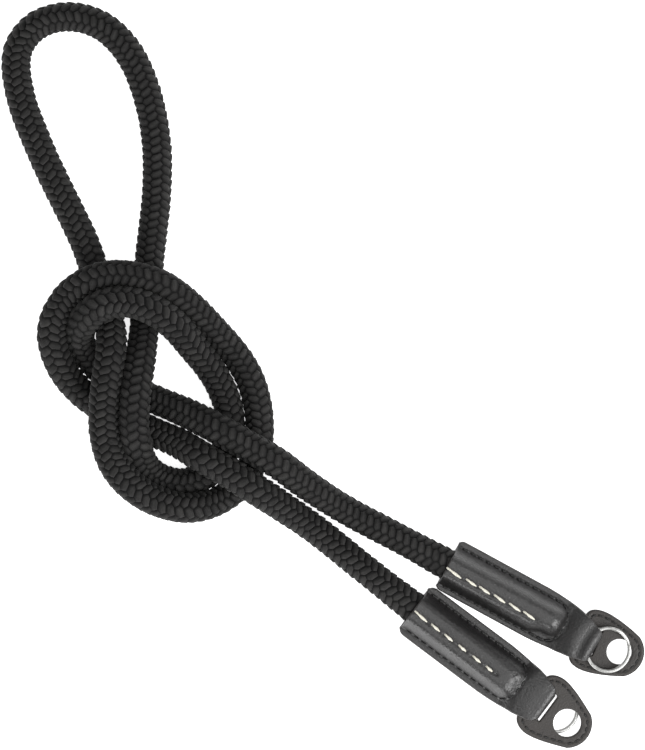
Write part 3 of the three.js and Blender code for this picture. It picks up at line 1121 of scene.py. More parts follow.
@dataclass
class StitchRow:
    """Stitches gathered in one leather end's or guard's frame, in millimetres."""

    matrix: Matrix
    middles: list[Sequence[float]] = field(default_factory=list)
    aheads: list[Sequence[float]] = field(default_factory=list)
    ups: list[Sequence[float]] = field(default_factory=list)
    spans: list[float] = field(default_factory=list)

    def add(self, start: Array, end: Array, up: Array) -> None:
        """Adds one stitch.

        Args:
            start: Where it leaves the leather.
            end: Where it goes back in.
            up: The leather's outward direction there.
        """
        self.middles.append((np.asarray(start) + end) / 2)
        self.aheads.append(np.asarray(end) - start)
        self.ups.append(up)
        self.spans.append(float(np.linalg.norm(np.asarray(end) - start)))

    def sew(self, name: str, radius: float, arch: float, twist: float,
            material: bpy.types.Material) -> bpy.types.Object:
        """Sews the row with the stitch tree.

        Args:
            name: The piece's name.
            radius: The thread's radius.
            arch: How high a stitch's middle stands above its ends.
            twist: How far the plies turn along a stitch, in radians.
            material: The thread's material.

        Returns:
            The thread as one mesh.
        """
        mesh = bpy.data.meshes.new(name)
        mesh.from_pydata(moved(np.array(self.middles), self.matrix).tolist(), [], [])
        for label, rows in (("ahead", self.aheads), ("up", self.ups)):
            store(mesh, label, "FLOAT_VECTOR", "POINT", unit(turned(np.array(rows), self.matrix)))
        store(mesh, "span", "FLOAT", "POINT", np.array(self.spans) * MM)
        return Growth.grow(name, mesh, Growth.stitches(),
                           {"Thread radius": radius * MM, "Arch": arch * MM, "Twist": twist,
                            "Material": material})


def thick_sheet(name: str, outer: Array, thickness: float, matrix: Matrix) -> bpy.types.Object:
    """A closed sheet of leather with rounded rims.

    Args:
        name: The piece's name.
        outer: The outer face, a grid of points in millimetres.
        thickness: The leather's thickness.
        matrix: The sheet's frame.

    Returns:
        The sheet, with an attribute that is one on its rims.
    """
    rows, columns = outer.shape[:2]
    normal = unit(np.cross(np.gradient(outer, axis=0), np.gradient(outer, axis=1)))
    inner = outer - normal * thickness
    number = np.arange(rows * columns).reshape(rows, columns)
    quads = np.stack([number[:-1, :-1], number[1:, :-1], number[1:, 1:], number[:-1, 1:]], -1)
    faces = [*quads.reshape(-1, 4).tolist(),
             *(quads.reshape(-1, 4)[:, ::-1] + rows * columns).tolist()]
    rim = np.concatenate([number[0, :-1], number[:-1, -1], number[-1, :0:-1], number[:0:-1, 0]])
    ahead, across = unit(np.gradient(outer, axis=0)), unit(np.gradient(outer, axis=1))
    away = np.zeros_like(outer)
    away[0] -= ahead[0]
    away[-1] += ahead[-1]
    away[:, 0] -= across[:, 0]
    away[:, -1] += across[:, -1]
    away = unit(away).reshape(-1, 3)[rim]
    top, bottom = outer.reshape(-1, 3)[rim], inner.reshape(-1, 3)[rim]
    loops, points, start = [rim], [outer.reshape(-1, 3), inner.reshape(-1, 3)], 2 * rows * columns
    middle, half = (top + bottom) / 2, (top - bottom) / 2
    bulge = away * (RIM_BULGE * thickness / 2)
    for angle in np.radians(RIM_STEPS):
        points.append(middle + half * math.cos(angle) + bulge * math.sin(angle))
        loops.append(np.arange(start, start + len(rim)))
        start += len(rim)
    loops.append(rim + rows * columns)
    for upper, lower in zip(loops, loops[1:]):
        pairs = np.stack([upper, np.roll(upper, -1), np.roll(lower, -1), lower], -1)
        faces.extend(pairs.tolist())
    vertices = np.vstack(points)
    piece = make_piece(name, moved(vertices, matrix), faces)
    raw = np.zeros(len(vertices))
    raw[2 * rows * columns:] = 1.0
    store(piece.data, "rim", "FLOAT", "POINT", raw)
    return piece


@dataclass
class LeatherEnd:
    """A leather strip folded round the ring, with the rope's end sewn between its two layers.

    A furrow or a dimple is given by its depth and its half width. A stretch over which something
    changes is given by where it starts, or where it ends, and by its length. Random lumps are given
    by their height, and by their size along and across the strip in cells of the fine grid.
    """

    place: EndPlace
    cream: Sequence[tuple[float, float]]
    cream_across: float
    cream_drift: float
    cream_slant: float
    panel_end: float
    reach: float
    neck: Sequence[tuple[float, float]]
    dents: Sequence[tuple[float, float, float, float, float]]
    widen: float
    shift: float
    fold_skew: float = 0.0
    fold_shift: float = 0.0
    front_reach: float = 0.7
    nip: float = 0.0
    nip_over: tuple[float, float] = (33.0, 5.5)
    seam_low: float = 6.5
    needle_hole: float | None = None
    seed: int = SEED
    thickness: float = 1.2
    flat: float = 2.45
    crown: float = 8.45
    mouth_rise: float = 0.45
    mouth_reach: float = 5.0
    mouth_lip: float = 1.2
    panel_half_width: float = 6.5
    low_foot: float = 6.5
    plateau: tuple[float, float] = (1.4, -2.5)
    panel_slope: float = 7.0
    panel_corner: float = 4.2
    side_power: float = 2.2
    front_power: float = 4.0
    foot_power: float = 1.1
    soft_cells: float = 5.0
    thread_furrow: tuple[float, float] = (0.22, 0.9)
    thread_ends: tuple[float, float] = (37.0, 3.0)
    seam_furrow: tuple[float, float] = (0.34, 0.4)
    seam_ends: tuple[float, float] = (1.6, 0.6)
    stitch_dimple: tuple[float, float] = (0.4, 0.7)
    needle_dimple: tuple[float, float] = (0.7, 0.45)
    droop: float = 0.4
    droop_over: tuple[float, float] = (45.0, 4.0)
    pleats: tuple[float, float, float] = (0.09, 7.0, 14.0)
    pleats_around: tuple[float, float] = (-2.0, 2.8)
    slack: tuple[float, float, float] = (0.05, 45.0, 16.0)
    ripple: tuple[float, float, float] = (0.05, 9.0, 30.0)
    ripple_over: tuple[float, float] = (43.5, 3.0)
    seam_gap: float = 0.6
    seam_pitch: float = 3.0
    seam_stitch: float = 2.25
    seam_step: float = 0.05
    hump: float = 7.6
    neck_lag: float = 1.2
    neck_half_width: float = 7.0
    fold_round: float = 2.3
    fold_middle: float = 4.8
    fold_face: tuple[float, float] = (4.4, 1.9)
    fold_half_width: float = 3.7
    fold_shoulders: Sequence[tuple[float, float]] = ((0.0, 4.3), (25.0, 4.9), (50.0, 5.4))
    fold_over: tuple[float, float] = (47.0, 8.0)
    shift_ends: tuple[float, float] = (46.0, 3.0)
    under_round: float = 1.5
    under_half_width: float = 5.0
    underside: float = 0.03
    cell: float = 0.1
    widths: Sequence[tuple[float, float]] = (
        (0.0, 8.1), (0.5, 8.65), (1.2, 8.85), (6.0, 8.9), (34.0, 8.9), (37.8, 8.75), (42.6, 8.35),
        (46.5, 7.95), (49.5, 7.35), (52.2, 6.75), (54.35, 5.95), (56.75, 5.4))

    def __post_init__(self) -> None:
        """Works out the upper face."""
        self.u = np.arange(-2.0, 58.0, self.cell)
        self.v = np.arange(-11.0, 11.0 + self.cell, self.cell)
        self.relief = self.shape_relief()

    @property
    def fold_start(self) -> float:
        """Where the strip starts to turn down round the fold."""
        return self.reach - self.fold_round

    def half_width(self, along: Array) -> Array:
        """Half the strip's width at distances from the mouth."""
        at, half = np.array(self.widths).T
        return np.interp(along, at, half) + self.widen * np.clip(np.asarray(along) / 2.0, 0, 1)

    def inside(self, u: Array, v: Array) -> Array:
        """How far points lie inside the panel's foot.

        Args:
            u: Distances along the end.
            v: Distances across it.

        Returns:
            The distances, negative outside the foot.
        """
        right = u - (self.panel_end - self.panel_corner)
        half = np.where(v < 0, self.seam_low, self.panel_half_width)
        side = np.abs(v) - (half - self.panel_corner)
        corner = np.hypot(np.maximum(right, 0), np.maximum(side, 0))
        return self.panel_corner - corner - np.minimum(np.maximum(right, side), 0)

    def cream_line(self, along: Array) -> Array:
        """Where the cream thread runs across the panel."""
        return self.cream_across + self.cream_drift * np.asarray(along)

    def panel_rise(self, u: Array, v: Array) -> Array:
        """The panel's height: a level top, round shoulders and drawn-in feet.

        Args:
            u: Distances along the end.
            v: Distances across it.

        Returns:
            Shares of the crown's height.
        """
        left, right = self.plateau
        half, low = self.panel_half_width, self.low_foot
        start, over = self.nip_over
        nipped = self.nip * smoothstep(np.clip((u - start) / over, 0, 1))
        side = np.maximum((v - left) / (half - left), (right + nipped - v) / (right + low))
        front = (u - self.panel_end - self.front_reach) / self.panel_slope + 1
        far = np.maximum(side, 0) ** self.side_power + np.maximum(front, 0) ** self.front_power
        return (1 - np.clip(far, 0, 1)) ** self.foot_power

    def furrows(self, u: Array, v: Array) -> Array:
        """How deep the threads are drawn into the leather, and its dents.

        Args:
            u: Distances along the end.
            v: Distances across it.

        Returns:
            The depths.
        """
        beside = v - self.cream_line(u)
        deep, wide = self.thread_furrow
        end, over = self.thread_ends
        total = deep * np.exp(-(beside / wide) ** 2) * np.clip((end - u) / over, 0, 1)
        deep, wide = self.seam_furrow
        end, over = self.seam_ends
        groove = np.exp(-((self.inside(u, v) + self.seam_gap) / wide) ** 2)
        total += deep * groove * np.clip((self.panel_end + end - u) / over, 0, 1)
        deep, wide = self.stitch_dimple
        for at in np.ravel(self.cream):
            total += deep * np.exp(-(np.hypot(u - at, beside * 1.2) / wide) ** 2)
        if self.needle_hole:
            deep, wide = self.needle_dimple
            total += deep * np.exp(-(np.hypot(u - self.needle_hole, beside) / wide) ** 2)
        for at, across, long, wide, deep in self.dents:
            total += deep * np.exp(-((u - at) / long) ** 2 - ((v - across) / wide) ** 2)
        return total

    def wrinkles(self, u: Array) -> tuple[Array, Array]:
        """Random unevenness of the leather.

        Args:
            u: Distances along the end, as a grid.

        Returns:
            The pleats of the panel's end, and the slack and ripple of the whole strip.
        """
        kinds = (self.pleats, self.slack, self.ripple)
        pleats, slack, ripple = (high * lumps(u.shape, long, wide, self.seed + k)
                                 for k, (high, long, wide) in enumerate(kinds))
        middle, reach = self.pleats_around
        at_end = np.exp(-((u - self.panel_end - middle) / reach) ** 2)
        start, over = self.ripple_over
        on_neck = np.clip((u - start) / over, 0, 1)
        return pleats * at_end, slack + ripple * on_neck

    def shape_relief(self) -> Array:
        """The height of the upper face on a fine grid.

        Returns:
            A table of heights, rows along u and columns along v.
        """
        u, v = np.meshgrid(self.u, self.v, indexing="ij")
        late = u - self.neck_lag * (v / self.neck_half_width) ** 2
        flat = self.flat + (self.hump - self.flat) * np.interp(late, *np.array(self.neck).T)
        dome = self.panel_rise(u, v)
        crown = self.crown + self.mouth_rise * np.exp(-np.maximum(u, 0) / self.mouth_reach)
        height = blurred(flat + (crown - flat) * dome, self.soft_cells, self.soft_cells)
        start, over = self.droop_over
        droop = self.droop * np.clip((u - start) / over, 0, 1)
        height -= self.furrows(u, v) + droop * (np.abs(v) / self.half_width(u)) ** 3
        pleats, rest = self.wrinkles(u)
        return height + pleats * (dome > 0.02) + rest

    def height(self, u: Array, v: Array) -> Array:
        """The upper face's height at points.

        Args:
            u: Distances along the end.
            v: Distances across it.

        Returns:
            The heights.
        """
        row = np.clip((u - self.u[0]) / self.cell, 0, len(self.u) - 1.001)
        column = np.clip((v - self.v[0]) / self.cell, 0, len(self.v) - 1.001)
        r, c = row.astype(int), column.astype(int)
        a, b = row - r, column - c
        table = self.relief
        return ((table[r, c] * (1 - b) + table[r, c + 1] * b) * (1 - a)
                + (table[r + 1, c] * (1 - b) + table[r + 1, c + 1] * b) * a)

    def shares(self, count: int = 84) -> Array:
        """Columns across the strip, closer where the panel's sides are steep.

        Args:
            count: How many columns.

        Returns:
            Shares of the half width, from minus one to one.
        """
        middle = 20.0
        half = float(self.half_width(np.array(middle)))
        across = np.linspace(-half, half, 2001)
        height = self.height(np.full_like(across, middle), across)
        far = np.concatenate([[0.0], np.cumsum(np.hypot(np.diff(across), np.diff(height)))])
        return np.interp(np.linspace(0, far[-1], count), far, across) / half

    def sideways(self, along: Array) -> Array:
        """How far the strip lies to one side of the end's line, before its neck."""
        end, over = self.shift_ends
        return self.shift * np.clip((end - along) / over, 0, 1)

    def upper_rows(self, shares: Array) -> Array:
        """The outer face of the upper layer, from the mouth to the fold.

        Args:
            shares: Columns across the strip.

        Returns:
            A grid of u, v, w.
        """
        lip = self.mouth_lip
        along = np.concatenate([np.linspace(0, lip, 5)[:-1],
                                np.linspace(lip, self.fold_start, 128)])
        across = self.half_width(along)[:, None] * shares + self.sideways(along)[:, None]
        level = np.broadcast_to(along[:, None], across.shape)
        return np.stack([level, across, self.height(level, across)], -1)

    def fold_rows(self, shares: Array, edge: Array) -> Array:
        """The outer face round the fold: over its crest, down its face and under it.

        Args:
            shares: Columns across the strip.
            edge: The heights of the upper layer's last row.

        Returns:
            A grid of u, v, w.
        """
        start, middle, tuck = self.fold_start, self.fold_middle, self.under_round
        angles, widths = np.array([*self.fold_shoulders, (80.0, self.half_width(start))]).T
        rows = []
        for angle in np.linspace(80, 0, 11):
            sine, cosine = math.sin(math.radians(angle)), math.cos(math.radians(angle))
            rows.append((start + self.fold_round * cosine, np.interp(angle, angles, widths),
                         middle + (edge - middle) * sine))
        for low in np.linspace(*self.fold_face, 7):
            rows.append((self.reach, self.fold_half_width, low))
        for angle in np.radians(np.linspace(0, 80, 8)):
            half = np.interp(angle, (0, math.pi / 2), (self.fold_half_width, self.under_half_width))
            rows.append((self.reach - tuck + tuck * math.cos(angle), half,
                         self.underside + tuck - tuck * math.sin(angle)))
        return np.array([np.stack(np.broadcast_arrays(u, half * shares, w), -1)
                         for u, half, w in rows])

    def lower_rows(self, shares: Array) -> Array:
        """The outer face of the lower layer, from the fold back to the mouth.

        Args:
            shares: Columns across the strip.

        Returns:
            A grid of u, v, w.
        """
        turn = self.reach - self.under_round
        along = np.concatenate([np.linspace(turn, 2.0, 50), [1.2, 0.6, 0.0]])
        half = np.minimum(self.half_width(along), np.interp(along, (turn - 4.0, turn), (9.6, 5.1)))
        across = half[:, None] * shares + self.sideways(along)[:, None]
        return np.stack(np.broadcast_arrays(along[:, None], across, self.underside), -1)

    def outer_face(self) -> Array:
        """The strip's outer face, from the upper mouth round the fold to the lower mouth.

        Returns:
            A grid of u, v, w.
        """
        shares = self.shares()
        upper = self.upper_rows(shares)
        fold = self.fold_rows(shares, upper[-1, :, 2])
        face = np.concatenate([upper, fold, self.lower_rows(shares)])
        start, over = self.fold_over
        folded = np.clip((face[..., 0] - start) / over, 0, 1)
        face[..., 0] += self.fold_skew * face[..., 1] * folded
        face[..., 1] += self.fold_shift * folded
        return face

    def normal(self, u: float, v: float) -> Array:
        """The upper face's outward direction at a point.

        Args:
            u: How far along the end.
            v: How far across it.

        Returns:
            A vector of length one.
        """
        step = 4 * self.cell
        at = np.array([u - step, u + step, u, u]), np.array([v, v, v - step, v + step])
        back, front, low, high = self.height(*at)
        return unit(np.array([(back - front) / (2 * step), (low - high) / (2 * step), 1.0]))

    def on_face(self, u: float, v: float, lift: float) -> Array:
        """A point of the upper face, lifted, or sunk where the lift is negative."""
        return np.array([u, v, float(self.height(np.array(u), np.array(v))) + lift])

    def seam_path(self) -> Array:
        """The black seam's line round the panel, at even small steps.

        Returns:
            Rows of u, v from one side of the mouth round to the other.
        """
        end, corner = self.panel_end + self.seam_gap, self.panel_corner + self.seam_gap
        arc = np.radians(np.linspace(0, 90, 30))
        bend = np.stack([end - corner + corner * np.sin(arc), corner * (np.cos(arc) - 1)], -1)
        quarter = np.concatenate([[(1.0, 0.0), (end - corner, 0.0)], bend])
        above = quarter + (0.0, self.panel_half_width + self.seam_gap)
        below = quarter + (0.0, self.seam_low + self.seam_gap)
        path = np.concatenate([above, below[::-1] * (1.0, -1.0)])
        reach = reaches(path)
        return sampled(path, reach, np.arange(0, reach[-1], self.seam_step))

    def sew_seam(self, material: bpy.types.Material) -> bpy.types.Object:
        """The black seam round the panel.

        Args:
            material: The thread's material.

        Returns:
            The seam as one mesh.
        """
        row = StitchRow(self.place.end())
        path, sunk = self.seam_path(), -0.08
        pitch = int(self.seam_pitch / self.seam_step)
        length = int(self.seam_stitch / self.seam_step)
        for k in range(10, len(path) - length - 1, pitch):
            start, middle, end = path[k], path[k + length // 2], path[k + length]
            row.add(self.on_face(*start, sunk), self.on_face(*end, sunk), self.normal(*middle))
        return row.sew("seam_thread_" + self.place.tag, radius=0.36, arch=0.3, twist=6.0,
                       material=material)

    def sew_cream(self, material: bpy.types.Material) -> bpy.types.Object:
        """The cream stitches along the panel, which hold the rope.

        Args:
            material: The thread's material.

        Returns:
            The stitches as one mesh.
        """
        row = StitchRow(self.place.end())
        lean = math.tan(math.radians(self.cream_slant))
        for start, end in self.cream:
            reach = (end - start) / 2
            middle = float(self.cream_line((start + end) / 2))
            ends = [(start, middle - lean * reach), (end, middle + lean * reach)]
            points = [self.on_face(u, v, -0.1) for u, v in ends]
            row.add(points[0], points[1], self.normal((start + end) / 2, middle))
        return row.sew("cream_thread_" + self.place.tag, radius=0.42, arch=0.5, twist=5.0,
                       material=material)

    def dress(self, hide: bpy.types.Material, black: bpy.types.Material,
              ivory: bpy.types.Material) -> None:
        """Builds the strip and its threads.

        Args:
            hide: The leather's material.
            black: The seam thread's material.
            ivory: The cream thread's material.
        """
        tag = self.place.tag
        strip = thick_sheet("leather_strip_" + tag, self.outer_face(), self.thickness,
                            self.place.end())
        attach(strip, hide, "leather_end_" + tag)
        attach(self.sew_seam(black), black)
        attach(self.sew_cream(ivory), ivory)


@dataclass
class RingGuard:
    """A pear-shaped leather plate with a round hole, a slit for the strip and a stitched edge."""

    place: EndPlace
    half_width: float
    thickness: float = 2.0
    end_radius: float = 8.6
    back_half_width: float = 8.8
    back: float = 7.4
    slit_to_hole: float = 8.0
    slit_corner: float = 0.7
    level_from: float = 2.7
    seam_inset: float = 1.75
    seam_pitch: float = 2.5
    seam_stitch: float = 1.9
    seam_sunk: float = 0.3
    count: int = 200
    hole_count: int = 96
    seam_count: int = 1200
    edge_wear: float = 0.9

    @staticmethod
    def bezier(points: Sequence[tuple[float, float]], parts: int = 40) -> Array:
        """A curve through two end points that leans to the two between.

        Args:
            points: Four points.
            parts: Steps along the curve.

        Returns:
            Rows of x, y, without the last.
        """
        a, b, c, d = np.array(points)
        t = np.linspace(0, 1, parts, endpoint=False)[:, None]
        return (1 - t)**3 * a + 3 * (1 - t)**2 * t * b + 3 * (1 - t) * t**2 * c + t**3 * d

    @staticmethod
    def even(loop: Array, count: int) -> Array:
        """The same closed loop with points at even steps.

        Args:
            loop: Rows of x, y.
            count: How many points.

        Returns:
            Rows of x, y.
        """
        closed = np.vstack([loop, loop[:1]])
        reach = reaches(closed)
        return sampled(closed, reach, np.linspace(0, reach[-1], count, endpoint=False))

    def outline(self) -> Array:
        """The plate's edge.

        Returns:
            Rows of x, y, anticlockwise round the tip first.
        """
        turn = math.acos((self.half_width - self.end_radius) / (self.slit_to_hole + 2)) - 0.35
        angles = np.linspace(-turn, turn, 60, endpoint=False)
        tip = np.stack([self.slit_to_hole + self.end_radius * np.cos(angles),
                        self.end_radius * np.sin(angles)], -1)
        x = self.slit_to_hole + self.end_radius * math.cos(turn)
        y = self.end_radius * math.sin(turn)
        wide, back, square = self.half_width, self.back, self.back_half_width
        flank = self.bezier([(x, y), (x - 3.5, y + 1.4), (2.5, wide), (-1.5, wide)])
        corner = self.bezier([(-1.5, wide), (-4.5, wide), (-back, square + 1), (-back, square - 2)])
        half = np.vstack([flank, corner, [(-back, square - 2)]])
        other = half[::-1] * (1, -1)
        return self.even(np.vstack([tip, half, other[:-1]]), self.count)

    @staticmethod
    def inset(loop: Array, distance: float) -> Array:
        """A loop moved inwards, or outwards where the distance is negative."""
        ahead = unit(np.roll(loop, -1, axis=0) - np.roll(loop, 1, axis=0))
        return loop + np.stack([-ahead[:, 1], ahead[:, 0]], -1) * distance

    def slit(self) -> Array:
        """The slit's edge, with rounded ends.

        Returns:
            Rows of x, y.
        """
        back, front, reach = self.place.slit
        straight = np.array([(front - back) / 2, reach]) - self.slit_corner
        angles = np.radians(np.arange(0, 360, 6) + 3)
        corner = np.stack([np.cos(angles), np.sin(angles)], -1)
        middle = ((front + back) / 2, 0.0)
        edge = np.sign(corner) * straight + corner * self.slit_corner + middle
        return self.even(edge, self.hole_count)

    def plate(self) -> bpy.types.Object:
        """The plate as one closed mesh with rounded edges and a pressed seam line.

        Returns:
            The plate, with an attribute that is high on its edge.
        """
        high = self.thickness
        angles = np.linspace(0, 2 * math.pi, self.hole_count, endpoint=False)
        ring = np.stack([np.cos(angles), np.sin(angles)], -1)
        hole = ring * self.place.hole_radius + (self.slit_to_hole, 0)
        edge = self.outline()
        seam, flat = self.seam_inset, self.level_from
        under = [(flat, 0.0), (0.55, 0.0), (0.2, 0.12), (0.04, 0.4), (0.0, 0.8)]
        over = [(0.0, high - 0.8), (0.05, high - 0.38), (0.22, high - 0.12), (0.55, high)]
        press = [(seam - 0.55, high + 0.04), (seam - 0.28, high - 0.1), (seam, high - 0.22),
                 (seam + 0.28, high - 0.1), (seam + 0.55, high + 0.02), (flat, high)]
        bore = [(0.9, high), (0.4, high), (0.13, high - 0.1), (0.0, high - 0.4), (0.0, 0.4),
                (0.13, 0.1), (0.4, 0.0), (0.9, 0.0)]
        narrow = [(min(out, 0.55), level) for out, level in bore]
        stacks = [[(self.inset(edge, gap), level) for gap, level in under + over + press],
                  [(self.inset(hole, -gap), level) for gap, level in bore],
                  [(self.inset(self.slit(), -gap), level) for gap, level in narrow]]
        vertices, faces, first, last = [], [], [], []
        for stack in stacks:
            loops = []
            for loop, level in stack:
                loops.append(np.arange(len(vertices), len(vertices) + len(loop)))
                vertices.extend((x, y, level) for x, y in loop)
            for a, b in zip(loops, loops[1:]):
                faces.extend(np.stack([a, np.roll(a, -1), np.roll(b, -1), b], -1).tolist())
            first.append(loops[0])
            last.append(loops[-1])
        table = np.array(vertices)
        faces.extend(self.fill(table, [last[0], first[1], first[2]], 1))
        faces.extend(self.fill(table, [first[0], last[1], last[2]], -1))
        name = "guard_plate_" + self.place.tag
        piece = make_piece(name, moved(table, self.place.guard()), faces)
        rim = np.zeros(len(table))
        rim[self.count:self.count * (len(under) + len(over) - 1)] = self.edge_wear
        store(piece.data, "rim", "FLOAT", "POINT", rim)
        return piece

    @staticmethod
    def fill(table: Array, loops: Sequence[Array], facing: int) -> list[list[int]]:
        """Triangles that fill a flat face with holes.

        Args:
            table: All the vertices.
            loops: The outer loop and the holes.
            facing: One for a face that looks up, minus one for one that looks down.

        Returns:
            The triangles.
        """
        numbers = np.concatenate(loops)
        flat = [[Vector((*table[k][:2], 0.0)) for k in loop] for loop in loops]
        faces = []
        for a, b, c in tessellate_polygon(flat):
            corners = [int(numbers[k]) for k in (a, b, c)]
            p, q, r = (table[k][:2] for k in corners)
            area = (q[0] - p[0]) * (r[1] - p[1]) - (q[1] - p[1]) * (r[0] - p[0])
            faces.append(corners if area * facing > 0 else corners[::-1])
        return faces

    def sew(self, material: bpy.types.Material) -> bpy.types.Object:
        """The black stitches round the plate's edge.

        Args:
            material: The thread's material.

        Returns:
            The stitches as one mesh.
        """
        row = StitchRow(self.place.guard())
        path = self.even(self.inset(self.outline(), self.seam_inset), self.seam_count)
        step = float(np.linalg.norm(np.diff(path, axis=0), axis=1).mean())
        pitch, length = self.seam_pitch / step, int(self.seam_stitch / step)
        level, up = self.thickness - self.seam_sunk, np.array([0.0, 0.0, 1.0])
        for k in range(int(len(path) / pitch)):
            at = int(k * pitch)
            start, end = path[at], path[(at + length) % len(path)]
            row.add(np.array([*start, level]), np.array([*end, level]), up)
        return row.sew("guard_thread_" + self.place.tag, radius=0.28, arch=0.26, twist=6.0,
                       material=material)

    def dress(self, hide: bpy.types.Material, black: bpy.types.Material) -> None:
        """Builds the plate and its stitches.

        Args:
            hide: The leather's material.
            black: The thread's material.
        """
        attach(self.plate(), hide, "ring_guard_" + self.place.tag)
        attach(self.sew(black), black)


@dataclass
class SplitRing:
    """A two-turn split ring of flat steel wire: a lower turn, a step and an upper turn."""

    place: EndPlace
    radius: float = 7.28
    radial: float = 1.18
    axial: float = 0.98
    corner: float = 0.46
    pitch: float = 1.1
    crank: float = 30.0
    steps: int = 220

    def dress(self, steel: bpy.types.Material) -> None:
        """Sweeps the wire with the wire tree and places it.

        Args:
            steel: The wire's material.
        """
        half = math.radians(self.crank)
        angle = np.linspace(half, 4 * math.pi - half, self.steps)
        share = np.clip((angle - 2 * math.pi + half) / (2 * half), 0, 1)
        height = self.axial / 2 + self.pitch * smoothstep(share)
        line = np.stack([self.radius * np.cos(angle), self.radius * np.sin(angle), height], -1)
        mesh = bpy.data.meshes.new("ring_line")
        mesh.from_pydata(line.tolist(), [(k, k + 1) for k in range(self.steps - 1)], [])
        ring = Growth.grow("ring_wire_" + self.place.tag, mesh, Growth.wire(),
                           {"Radial": self.radial, "Axial": self.axial, "Corner": self.corner,
                            "Material": steel})
        ring.data.transform(Matrix.Scale(MM, 4) @ self.place.ring())
        attach(ring, steel, "split_ring_" + self.place.tag)


@dataclass(frozen=True)
class Lamp:
    """One soft light: where it hangs, its width and height, and its power in watts."""

    name: str
    place: tuple[float, float, float]
    size: tuple[float, float]
    power: float

    def hang(self, aim: Vector) -> None:
        """Hangs the light, turned to the strap.

        Args:
            aim: The point that it looks at.
        """
        light = bpy.data.lights.new(self.name, "AREA")
        light.shape = "RECTANGLE"
        light.size, light.size_y = self.size
        light.energy = self.power
        lamp = linked(self.name, light)
        lamp.location = self.place
        lamp.rotation_euler = (aim - Vector(self.place)).to_track_quat("-Z", "Y").to_euler()


@dataclass
class Studio:
    """A plain pale floor, soft light from above and a camera that looks straight down."""

    aim: tuple[float, float] = (-0.0675, 0.0918)
    seen_width: float = 0.2179
    seen_height: float = 0.008
    distance: float = 1.5
    sensor: float = 36.0
    floor_reach: float = 3.0
    floor_glow: float = 0.85
    surround: float = 0.40
    lamps: Sequence[Lamp] = (
        Lamp("overhead", (-0.15, 0.20, 1.9), (1.6, 1.6), 14.5),
        Lamp("upper_right", (0.9, 1.1, 0.5), (1.2, 0.5), 3.0),
        Lamp("lower_right", (0.95, -0.60, 0.95), (1.3, 0.9), 27.0),
        Lamp("lower_left", (-0.95, -1.10, 0.30), (1.6, 0.5), 16.5))

    def camera(self) -> None:
        """The camera, with a long lens straight above the strap."""
        lens = bpy.data.cameras.new("camera")
        lens.sensor_fit = "HORIZONTAL"
        lens.sensor_width = self.sensor
        lens.lens = self.sensor * self.distance / self.seen_width
        lens.clip_end = 20.0
        camera = linked("camera", lens)
        camera.location = (*self.aim, self.seen_height + self.distance)
        bpy.context.scene.camera = camera

    def floor(self) -> None:
        """A wide pale floor with a faint mottle."""
        corners = np.array([(-1, -1, 0), (1, -1, 0), (1, 1, 0), (-1, 1, 0)]) * self.floor_reach
        piece = make_piece("floor", corners, [(0, 1, 2, 3)])
        material, tree, shader = new_material("pale_floor")
        place = put(tree, "ShaderNodeTexCoord")
        mottle = put(tree, "ShaderNodeTexNoise", {"Vector": place.outputs["Object"], "Scale": 14.0})
        colour = ramp(tree, mottle.outputs[0],
                      [(0.3, (0.90, 0.90, 0.90)), (0.7, (0.92, 0.92, 0.92))])
        tree.links.new(colour, shader.inputs["Base Color"])
        shader.inputs["Roughness"].default_value = 0.9
        shader.inputs["Specular IOR Level"].default_value = 0.1
        tree.links.new(colour, shader.inputs["Emission Color"])
        shader.inputs["Emission Strength"].default_value = self.floor_glow
        piece.data.materials.append(material)

    def lights(self) -> None:
        """A large panel overhead, three side panels and an even surround."""
        for lamp in self.lamps:
            lamp.hang(Vector((*self.aim, 0.0)))
        world = bpy.data.worlds.new("surround")
        world.use_nodes = True
        background = world.node_tree.nodes["Background"]
        background.inputs["Color"].default_value = (1.0, 1.0, 1.0, 1.0)
        background.inputs["Strength"].default_value = self.surround
        bpy.context.scene.world = world
        bpy.context.scene.view_settings.view_transform = "Standard"

    def build(self) -> None:
        """Sets up the camera, the floor and the lights."""
        self.camera()
        self.floor()
        self.lights()
        LOG.info("studio: camera, floor and lights")


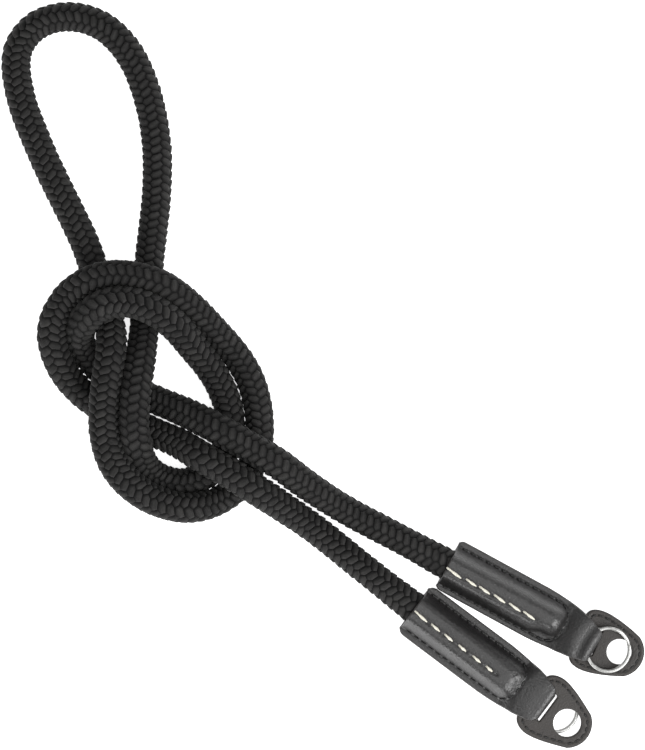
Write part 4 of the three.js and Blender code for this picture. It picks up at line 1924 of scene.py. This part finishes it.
def main() -> None:
    """Builds the strap piece by piece."""
    logging.basicConfig(level=logging.INFO, format="%(message)s")
    Studio().build()
    # The yarn's crease colour is painted shade at each stitch's tucked start and sides.
    yarn = YarnFinish("rope_yarn", shade=(0.005, 0.005, 0.005), light=(0.036, 0.035, 0.034),
                      crease=(0.0015, 0.0015, 0.0015))
    BraidedRope(RopeRoute(), yarn).dress()
    hide = HideFinish("strip_leather", shade=(0.006, 0.006, 0.006), light=(0.016, 0.015, 0.015),
                      edge=(0.03, 0.027, 0.025), roughness=0.34, polish=0.65).material()
    plate = HideFinish("guard_leather", shade=(0.017, 0.0155, 0.0145),
                       light=(0.038, 0.034, 0.031), edge=(0.014, 0.013, 0.012),
                       roughness=0.55, polish=0.4, pebbles=2100.0).material()
    black = ThreadFinish("seam_thread", (0.003, 0.003, 0.003), (0.009, 0.009, 0.009)).material()
    ivory = ThreadFinish("cream_thread", (0.48, 0.46, 0.39), (0.74, 0.72, 0.63)).material()
    steel = SteelFinish("ring_steel", (0.31, 0.31, 0.30), (0.46, 0.46, 0.45)).material()
    ends = (
        LeatherEnd(END_A, panel_end=43.6, reach=57.05, widen=0.0, shift=0.2,
                   cream=((-0.4, 5.7), (7.2, 11.5), (12.2, 16.8), (18.0, 22.7), (23.9, 28.6),
                          (29.4, 34.2)),
                   cream_across=-1.3, cream_drift=-0.016, cream_slant=-9.0,
                   neck=((40.8, 0.0), (42.0, 0.12), (43.2, 0.20), (43.9, 0.22), (44.8, 0.36),
                         (46.4, 0.55), (48.0, 0.72), (49.2, 0.80), (50.2, 0.82), (51.2, 0.79),
                         (51.9, 0.75), (52.4, 0.755), (53.2, 0.835), (54.0, 0.935),
                         (54.7, 0.975), (55.2, 0.98), (60.0, 0.9)),
                   dents=((41.2, 2.7, 1.4, 1.2, 0.5),),
                   fold_skew=0.04, fold_shift=-0.7, front_reach=0.9, nip=1.6),
        LeatherEnd(END_B, panel_end=43.6, reach=55.7, widen=0.5, shift=-0.15,
                   cream=((0.1, 5.8), (7.2, 11.1), (12.8, 16.6), (18.8, 22.3), (24.8, 28.5),
                          (30.5, 33.5)),
                   cream_across=-0.85, cream_drift=-0.012, cream_slant=-6.0,
                   neck=((40.5, 0.0), (42.0, 0.25), (43.0, 0.46), (44.0, 0.63), (45.0, 0.74),
                         (46.5, 0.82), (48.0, 0.89), (49.5, 0.95), (50.5, 0.97), (51.8, 0.955),
                         (53.4, 0.95), (60.0, 0.85)),
                   dents=((40.2, 2.7, 1.3, 1.0, 0.45), (36.8, 3.6, 3.0, 0.7, 0.25)),
                   low_foot=7.8, plateau=(2.2, -3.0), seam_low=7.0, needle_hole=35.1,
                   seed=SEED + 11),
    )
    for end, guard_half_width in zip(ends, (10.7, 11.3)):
        end.dress(hide, black, ivory)
        RingGuard(end.place, guard_half_width).dress(plate, black)
        SplitRing(end.place).dress(steel)


if __name__ == "__main__":
    main()
